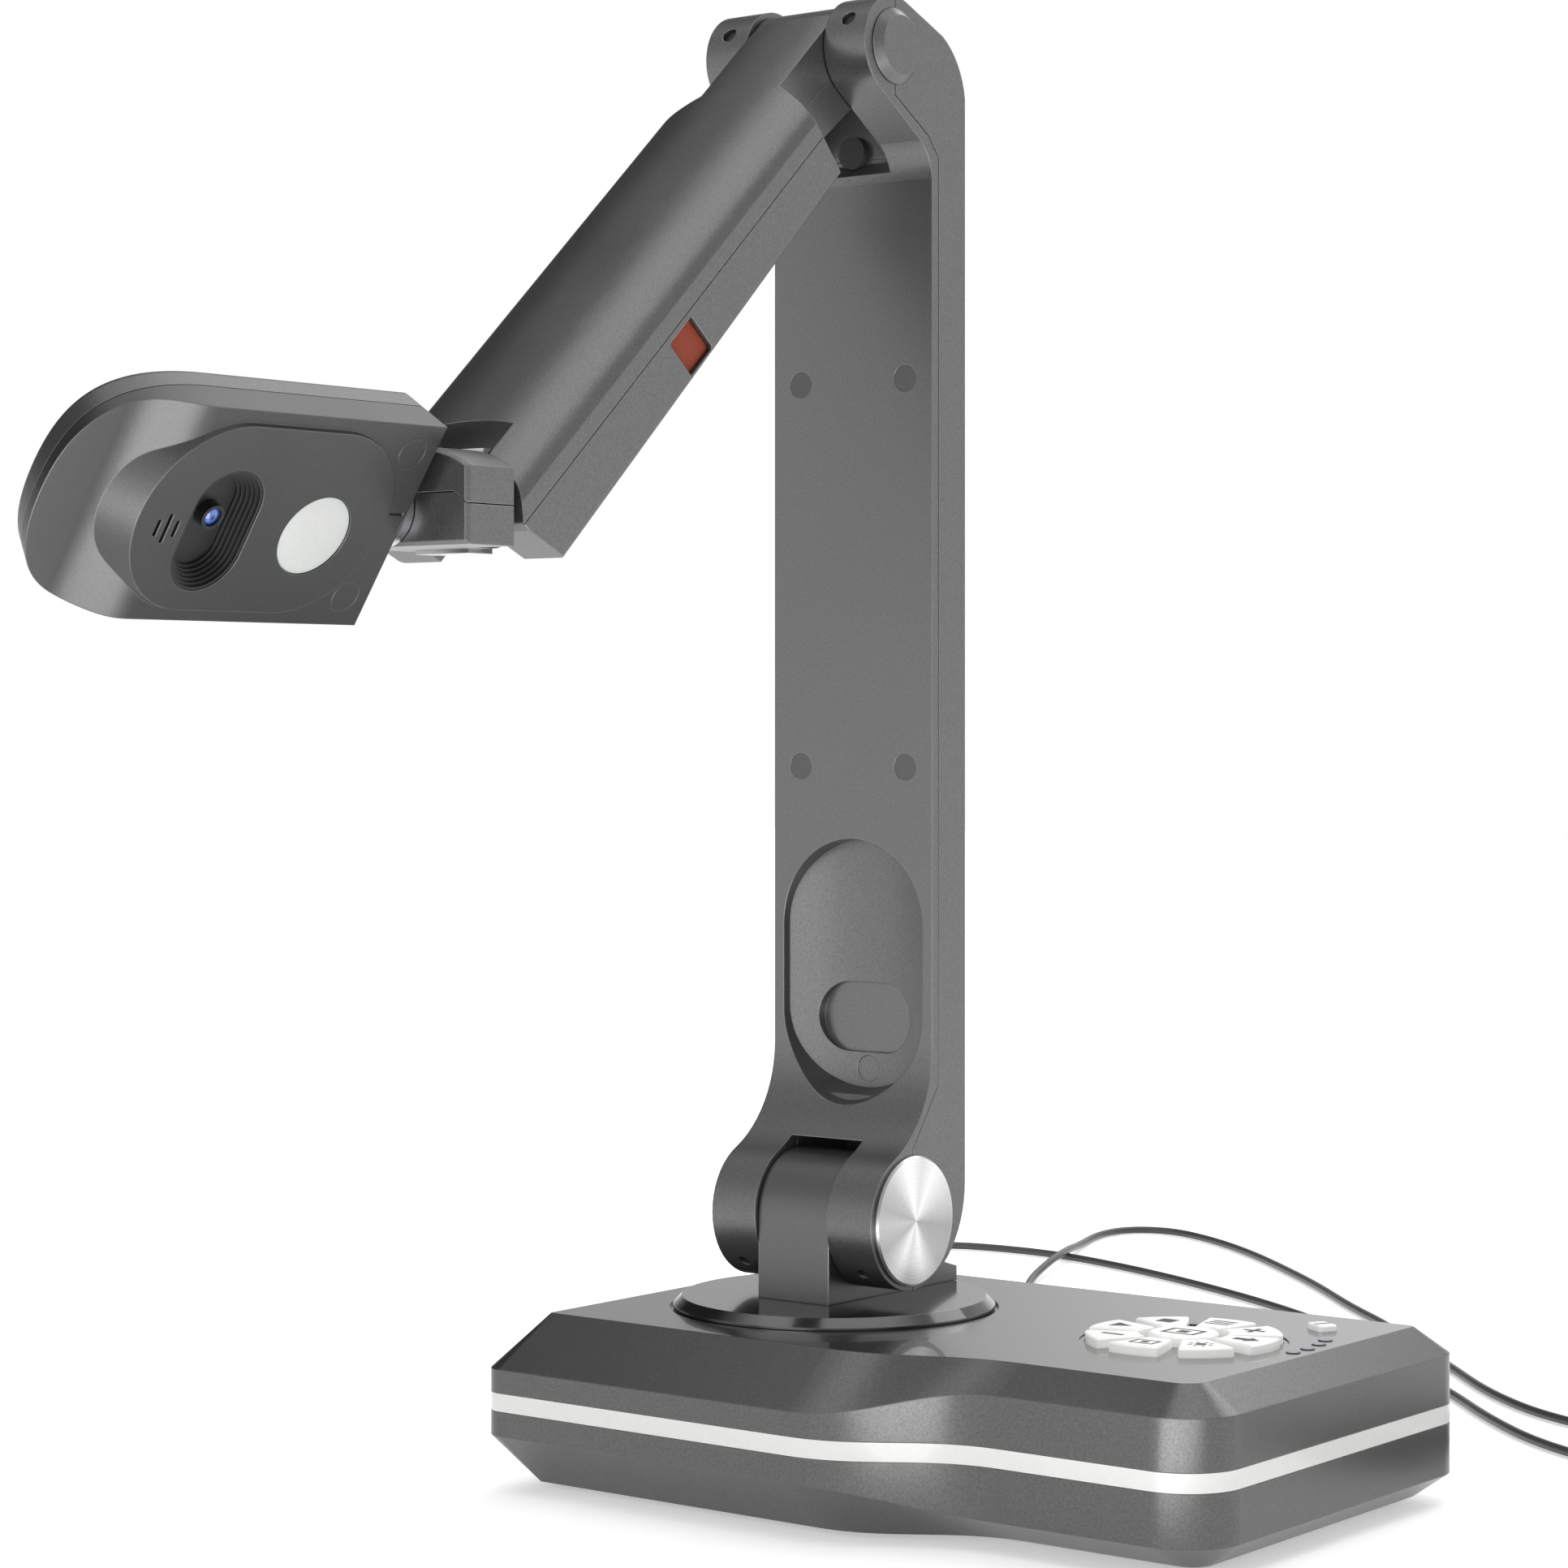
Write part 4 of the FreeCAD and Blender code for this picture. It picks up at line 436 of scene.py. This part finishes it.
def brushed(name, colour, centre):
    """Turned metal on a face that looks along X: fine rings, and painted light and dark sweeps of
    reflection round it.
    """
    material = shader(name, colour, 0.24, 1.0)
    bsdf = material.node_tree.nodes["Principled BSDF"]
    bsdf.inputs["Anisotropic"].default_value = 0.75
    where = add(material, "ShaderNodeTexCoord")
    shift = add(material, "ShaderNodeVectorMath", operation="SUBTRACT")
    shift.inputs[1].default_value = centre
    link(material, where, "Object", shift, 0)
    parts = add(material, "ShaderNodeSeparateXYZ")
    link(material, shift, 0, parts, 0)
    turn = add(material, "ShaderNodeMath", operation="ARCTAN2")
    link(material, parts, "Z", turn, 0)
    link(material, parts, "Y", turn, 1)
    flat = add(material, "ShaderNodeCombineXYZ")
    link(material, parts, "Y", flat, "Y")
    link(material, parts, "Z", flat, "Z")
    far = add(material, "ShaderNodeVectorMath", operation="LENGTH")
    link(material, flat, 0, far, 0)
    around = add(material, "ShaderNodeMapRange")
    around.inputs["From Min"].default_value = -math.pi
    around.inputs["From Max"].default_value = math.pi
    link(material, turn, 0, around, "Value")
    sweep = add(material, "ShaderNodeValToRGB")
    for place, level in SWEEPS[1:-1]:
        sweep.color_ramp.elements.new(place)
    for element, (place, level) in zip(sweep.color_ramp.elements, SWEEPS):
        element.color = (*shade(colour, level * SWEEP_GAIN), 1)
    link(material, around, "Result", sweep, "Fac")
    rings = add(material, "ShaderNodeTexNoise", noise_dimensions="1D", Detail=4.0, Roughness=0.7)
    rings.inputs["Scale"].default_value = TURNING_SCALE
    link(material, far, "Value", rings, "W")
    fine = ramp(material, rings, "Fac", 0.3, 0.7, (0.86,) * 3, (1.0,) * 3)
    mix = add(material, "ShaderNodeMix", data_type="RGBA", blend_type="MULTIPLY")
    mix.inputs[0].default_value = 1
    link(material, sweep, "Color", mix, "A")
    link(material, fine, "Color", mix, "B")
    link(material, mix, "Result", bsdf, "Base Color")
    bump = add(material, "ShaderNodeBump", Strength=0.08, Distance=0.0001)
    link(material, rings, "Fac", bump, "Height")
    link(material, bump, "Normal", bsdf, "Normal")
    tangent = add(material, "ShaderNodeTangent", direction_type="RADIAL", axis="X")
    link(material, tangent, "Tangent", bsdf, "Tangent")
    return material


LENS_REACH = 0.003
# Each row: a share of the way from the lens's middle to LENS_REACH, and the colour there.
# The first two rows are a painted glint.
LENS_TONES = [(0.0, (0.75, 0.85, 1.0)), (0.13, (0.55, 0.68, 0.95)), (0.2, (0.01, 0.012, 0.03)),
              (0.42, (0.012, 0.02, 0.06)), (0.55, (0.05, 0.12, 0.38)), (0.8, (0.03, 0.10, 0.42)),
              (1.0, (0.01, 0.03, 0.12))]


def coated_lens(name, centre):
    """Coated glass: blue towards its rim, near black in the middle, with a small painted glint at its
    very centre.
    """
    material = shader(name, (0.02, 0.05, 0.2), 0.04, 0.0, Coat_Weight=1.0, Coat_Roughness=0.01)
    bsdf = material.node_tree.nodes["Principled BSDF"]
    where = add(material, "ShaderNodeTexCoord")
    gap = add(material, "ShaderNodeVectorMath", operation="DISTANCE")
    gap.inputs[1].default_value = centre
    link(material, where, "Object", gap, 0)
    spread = add(material, "ShaderNodeMapRange")
    spread.inputs["From Max"].default_value = LENS_REACH
    link(material, gap, "Value", spread, "Value")
    tone = add(material, "ShaderNodeValToRGB")
    for place, colour in LENS_TONES[1:-1]:
        tone.color_ramp.elements.new(place)
    for element, (place, colour) in zip(tone.color_ramp.elements, LENS_TONES):
        element.color = (*colour, 1)
    link(material, spread, "Result", tone, "Fac")
    link(material, tone, "Color", bsdf, "Base Color")
    return material


def middle(node):
    """The middle of a CAD node's box, at rest."""
    low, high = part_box(node)
    return tuple((a + b) / 2 for a, b in zip(low, high))


CAP = brushed("cap_metal", (0.72, 0.72, 0.73), middle("tilt_shaft"))
GLASS = coated_lens("lens_glass", middle("lens_glass"))
FINISH = {
    STAND: ["column_front_shell", "column_rear_shell", "hinge_caps", "arm_upper_shell",
            "arm_lower_shell", "knuckle_upper_shell", "knuckle_lower_shell", "head_back_shell"],
    SHADED_STAND_GREY: ["head_lens_shell", "head_screw_plugs"],
    PAINT: ["base_top_shell", "base_bottom_shell", "key_bezel"],
    DISC: ["turntable_disc"],
    PEDESTAL: ["pedestal"],
    STRIP: ["light_strip"],
    KEYCAP: [f"key_{number}" for number in range(1, 9)] + ["key_centre", "key_power"],
    RUBBER: ["rubber_feet", "cable_bush", "cord_reliefs"],
    DARK: ["lens_bezel", "lens_barrel", "ear_screws"],
    STOPPER: ["column_screw_plugs"],
    ORANGE: ["side_button"],
    DIFFUSER: ["lamp_diffuser"],
    LENSLET: ["indicator_lenses"],
    GLASS: ["lens_glass"],
    CAP: ["tilt_caps"],
    IRON: ["base_weight"],
    BOARD: ["main_board", "key_board", "lamp_board", "sensor_board"],
    NYLON: ["swivel_washer"],
    STEEL: ["base_screws", "pedestal_screws", "tilt_shaft", "arm_shaft", "pivot_shaft",
            "roll_shaft", "swivel_sleeve", "swivel_nut", "column_frame", "knuckle_bracket"],
}
for material, names in FINISH.items():
    for node in names:
        paint(node, material)

# ---------------------------------------------------------------------------------- key marks
INK = moulded("key_ink", (0.022, 0.020, 0.020), 0.45, fleck=0.1, grain=900, depth=0.05)
# The middle of the keypad, how far from it the ring keys' marks are, and the marks' sizes.
RING = (74, 10)
MARK_RADIUS = 23.5
RING_MARK, CENTRE_MARK, POWER_MARK = 1.5, 2.1, 1.1
MARK_SUNK, MARK_PROUD = 0.05, 0.035
MARKS = {
    "arrow": [[(-3.0, -1.1), (0.2, -1.1), (0.2, -2.4), (3.2, 0), (0.2, 2.4), (0.2, 1.1), (-3.0, 1.1)]],
    "plus": [[(-2.6, -0.6), (-0.6, -0.6), (-0.6, -2.6), (0.6, -2.6), (0.6, -0.6), (2.6, -0.6),
              (2.6, 0.6), (0.6, 0.6), (0.6, 2.6), (-0.6, 2.6), (-0.6, 0.6), (-2.6, 0.6)]],
    "minus": [[(-2.7, -0.6), (2.7, -0.6), (2.7, 0.6), (-2.7, 0.6)]],
    "bars": [[(-3.0, y - 0.42), (3.0, y - 0.42), (3.0, y + 0.42), (-3.0, y + 0.42)]
             for y in (-1.9, 0, 1.9)],
    "frame": [[(-3.0, -2.2), (3.0, -2.2), (3.0, -1.6), (-3.0, -1.6)],
              [(-3.0, 1.6), (3.0, 1.6), (3.0, 2.2), (-3.0, 2.2)],
              [(-3.0, -1.6), (-2.4, -1.6), (-2.4, 1.6), (-3.0, 1.6)],
              [(2.4, -1.6), (3.0, -1.6), (3.0, 1.6), (2.4, 1.6)],
              [(-0.9, -0.9), (0.9, -0.9), (0.9, 0.9), (-0.9, 0.9)]],
    "sun": [[(1.3 * math.cos(k * math.pi / 6), 1.3 * math.sin(k * math.pi / 6)) for k in range(12)]]
           + [[(math.cos(a) * r + math.cos(a + math.pi / 2) * w, math.sin(a) * r
               + math.sin(a + math.pi / 2) * w) for r, w in ((1.9, -0.25), (2.9, -0.25), (2.9, 0.25),
                                                             (1.9, 0.25))]
              for a in (k * math.pi / 4 for k in range(8))],
    "stop": [[(-2.0, -2.0), (2.0, -2.0), (2.0, 2.0), (-2.0, 2.0)]],
    "wedge": [[(-2.2, -2.4), (2.4, 0), (-2.2, 2.4)]],
}


def key_mark(node, shapes, at, turn, size, height):
    """Thin printed shapes on a key's top, riding on that key."""
    vertices, faces = [], []
    for outline in shapes:
        spots = [(at[0] + size * (x * math.cos(turn) - y * math.sin(turn)),
                  at[1] + size * (x * math.sin(turn) + y * math.cos(turn))) for x, y in outline]
        first, count = len(vertices), len(spots)
        for z in (height - MARK_SUNK, height + MARK_PROUD):
            vertices += [(x * MM, y * MM, z * MM) for x, y in spots]
        faces.append([first + count + k for k in range(count)])
        faces.append([first + k for k in reversed(range(count))])
        for k in range(count):
            after = (k + 1) % count
            faces.append([first + k, first + after, first + count + after, first + count + k])
    made = mesh_object(node + "_mark", vertices, faces, INK)
    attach(made, node)


KEY_MARKS = ["bars", "plus", "arrow", "sun", "frame", "minus", "wedge", "stop"]
for number, kind in enumerate(KEY_MARKS, start=1):
    angle = math.radians(90 - (number - 1) * 45)
    spot = (RING[0] + MARK_RADIUS * math.cos(angle), RING[1] + MARK_RADIUS * math.sin(angle))
    key_mark(f"key_{number}", MARKS[kind], spot, 0.0, RING_MARK,
             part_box(f"key_{number}")[1][2] / MM)
key_mark("key_centre", MARKS["frame"], RING, 0.0, CENTRE_MARK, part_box("key_centre")[1][2] / MM)
power_low, power_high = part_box("key_power")
power_spot = [(a + b) / 2 / MM for a, b in zip(power_low[:2], power_high[:2])]
key_mark("key_power", MARKS["minus"], power_spot, math.radians(60), POWER_MARK, power_high[2] / MM)


CONSOLE_TOP = 58
INDICATOR_SPOTS = [(113.9, 11.4), (114.1, 20.2), (112.7, 29.9), (110.4, 38.1)]
# Each row: a corner of the trim ring's section, as its radius and its height above the console.
TRIM_SECTION = [(1.75, 0.0), (1.85, 0.22), (2.3, 0.22), (2.45, 0.0)]
TRIM_SIDES = 28


def indicator_rings():
    """A thin dark trim ring round each indicator."""
    bm = bmesh.new()
    turns = [2 * math.pi * k / TRIM_SIDES for k in range(TRIM_SIDES)]
    for x, y in INDICATOR_SPOTS:
        rows = []
        for radius, rise in TRIM_SECTION:
            rows.append([bm.verts.new(((x + radius * math.cos(turn)) * MM,
                                       (y + radius * math.sin(turn)) * MM,
                                       CONSOLE_TOP * MM + rise * MM)) for turn in turns])
        for one, other in zip(rows, rows[1:] + rows[:1]):
            for k in range(TRIM_SIDES):
                after = (k + 1) % TRIM_SIDES
                bm.faces.new((one[k], one[after], other[after], other[k]))
    bmesh.ops.recalc_face_normals(bm, faces=bm.faces)
    mesh = bpy.data.meshes.new("indicator_rings")
    bm.to_mesh(mesh)
    bm.free()
    made = bpy.data.objects.new("indicator_rings", mesh)
    bpy.context.collection.objects.link(made)
    mesh.materials.append(INK)
    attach(made, "base")


indicator_rings()

# ----------------------------------------------------------------------------- floor and light
# The surroundings are an even grey with soft round patches, brighter or darker. What the camera
# itself sees beyond the floor is white.
AMBIENT = 0.60
DARKEST = 0.02
FLOOR_GLOW = 0.42
# Each row: the direction, where the patch is full and where it ends in degrees, and its level.
PATCHES = [
    ((0.06, -1.0, 0.0), 8, 26, 2.2),
    ((-0.62, -0.78, 0.05), 8, 28, 0.45),
    ((0.62, 0.78, 0.08), 8, 30, 0.50),
    ((-0.05, 0.0, 1.0), 22, 38, 0.98),
    ((-0.25, 0.74, 0.65), 6, 25, 0.90),
    ((-0.36, 0.92, 0.16), 3, 16, 0.45),
    ((-0.72, 0.36, 0.50), 10, 32, -0.56),
    ((-0.95, -0.32, 0.0), 8, 25, -0.60),
    ((-0.85, 0.0, 0.50), 8, 28, -0.45),
    ((1.0, 0.0, 0.0), 6, 26, -0.56),
]
# Each row: name, place, point that it faces, width, height and power.
SOFTBOXES = [
    ("low_panel", (0.27, -0.40, 0.004), (0.27, -0.40, 1.0), 0.38, 0.46, 2.1),
    ("back", (0.2, 1.5, 1.5), (0, 0, 0.2), 1.4, 0.7, 6),
]
PAPER = moulded("floor_paper", (0.94, 0.94, 0.94), 0.92, fleck=0.008, grain=300, depth=0.02)
paper_shader = PAPER.node_tree.nodes["Principled BSDF"]
paper_shader.inputs["Emission Color"].default_value = (1, 1, 1, 1)
paper_shader.inputs["Emission Strength"].default_value = FLOOR_GLOW
FLOOR_LEVEL = -0.0004
WIDE, DEEP = 8, 6
sheet = [(-WIDE, -DEEP, FLOOR_LEVEL), (WIDE, -DEEP, FLOOR_LEVEL), (WIDE, DEEP, FLOOR_LEVEL),
         (-WIDE, DEEP, FLOOR_LEVEL)]
floor = mesh_object("floor", sheet, [(0, 1, 2, 3)], PAPER)

world = bpy.data.worlds.new("studio")
bpy.context.scene.world = world
world.use_nodes = True
bpy.context.scene.view_settings.view_transform = "Standard"
sky = world.node_tree
surround = sky.nodes["Background"]
surround.inputs["Strength"].default_value = 1.0
outward = sky.nodes.new("ShaderNodeTexCoord")


def sky_math(operation, first, second):
    """A Math node in the surroundings; each argument is a number or another node's output."""
    node = sky.nodes.new("ShaderNodeMath")
    node.operation = operation
    for entry, value in enumerate((first, second)):
        if isinstance(value, (int, float)):
            node.inputs[entry].default_value = value
        else:
            sky.links.new(value, node.inputs[entry])
    return node.outputs[0]


def sky_patch(direction, inner, outer, level):
    """A soft round patch of the surroundings, brighter or darker than the rest."""
    dot = sky.nodes.new("ShaderNodeVectorMath")
    dot.operation = "DOT_PRODUCT"
    sky.links.new(outward.outputs["Generated"], dot.inputs[0])
    dot.inputs[1].default_value = Vector(direction).normalized()
    spread = sky.nodes.new("ShaderNodeMapRange")
    spread.interpolation_type = "SMOOTHSTEP"
    spread.inputs["From Min"].default_value = math.cos(math.radians(outer))
    spread.inputs["From Max"].default_value = math.cos(math.radians(inner))
    sky.links.new(dot.outputs["Value"], spread.inputs["Value"])
    return sky_math("MULTIPLY", spread.outputs["Result"], level)


total = AMBIENT
for patch in PATCHES:
    total = sky_math("ADD", total, sky_patch(*patch))
total = sky_math("MAXIMUM", total, DARKEST)
seen = sky.nodes.new("ShaderNodeLightPath")
clear = sky.nodes.new("ShaderNodeMix")
clear.data_type = "FLOAT"
sky.links.new(seen.outputs["Is Camera Ray"], clear.inputs[0])
sky.links.new(total, clear.inputs[2])
clear.inputs[3].default_value = 1.0
tone = sky.nodes.new("ShaderNodeCombineColor")
for entry in range(3):
    sky.links.new(clear.outputs[0], tone.inputs[entry])
sky.links.new(tone.outputs[0], surround.inputs["Color"])


def softbox(name, place, aim, width, height, power):
    """A rectangular soft light that faces a point."""
    data = bpy.data.lights.new(name, "AREA")
    data.shape = "RECTANGLE"
    data.size = width
    data.size_y = height
    data.energy = power
    made = bpy.data.objects.new(name, data)
    bpy.context.collection.objects.link(made)
    made.location = place
    made.rotation_euler = (Vector(aim) - Vector(place)).to_track_quat("-Z", "Y").to_euler()


for box in SOFTBOXES:
    softbox(*box)
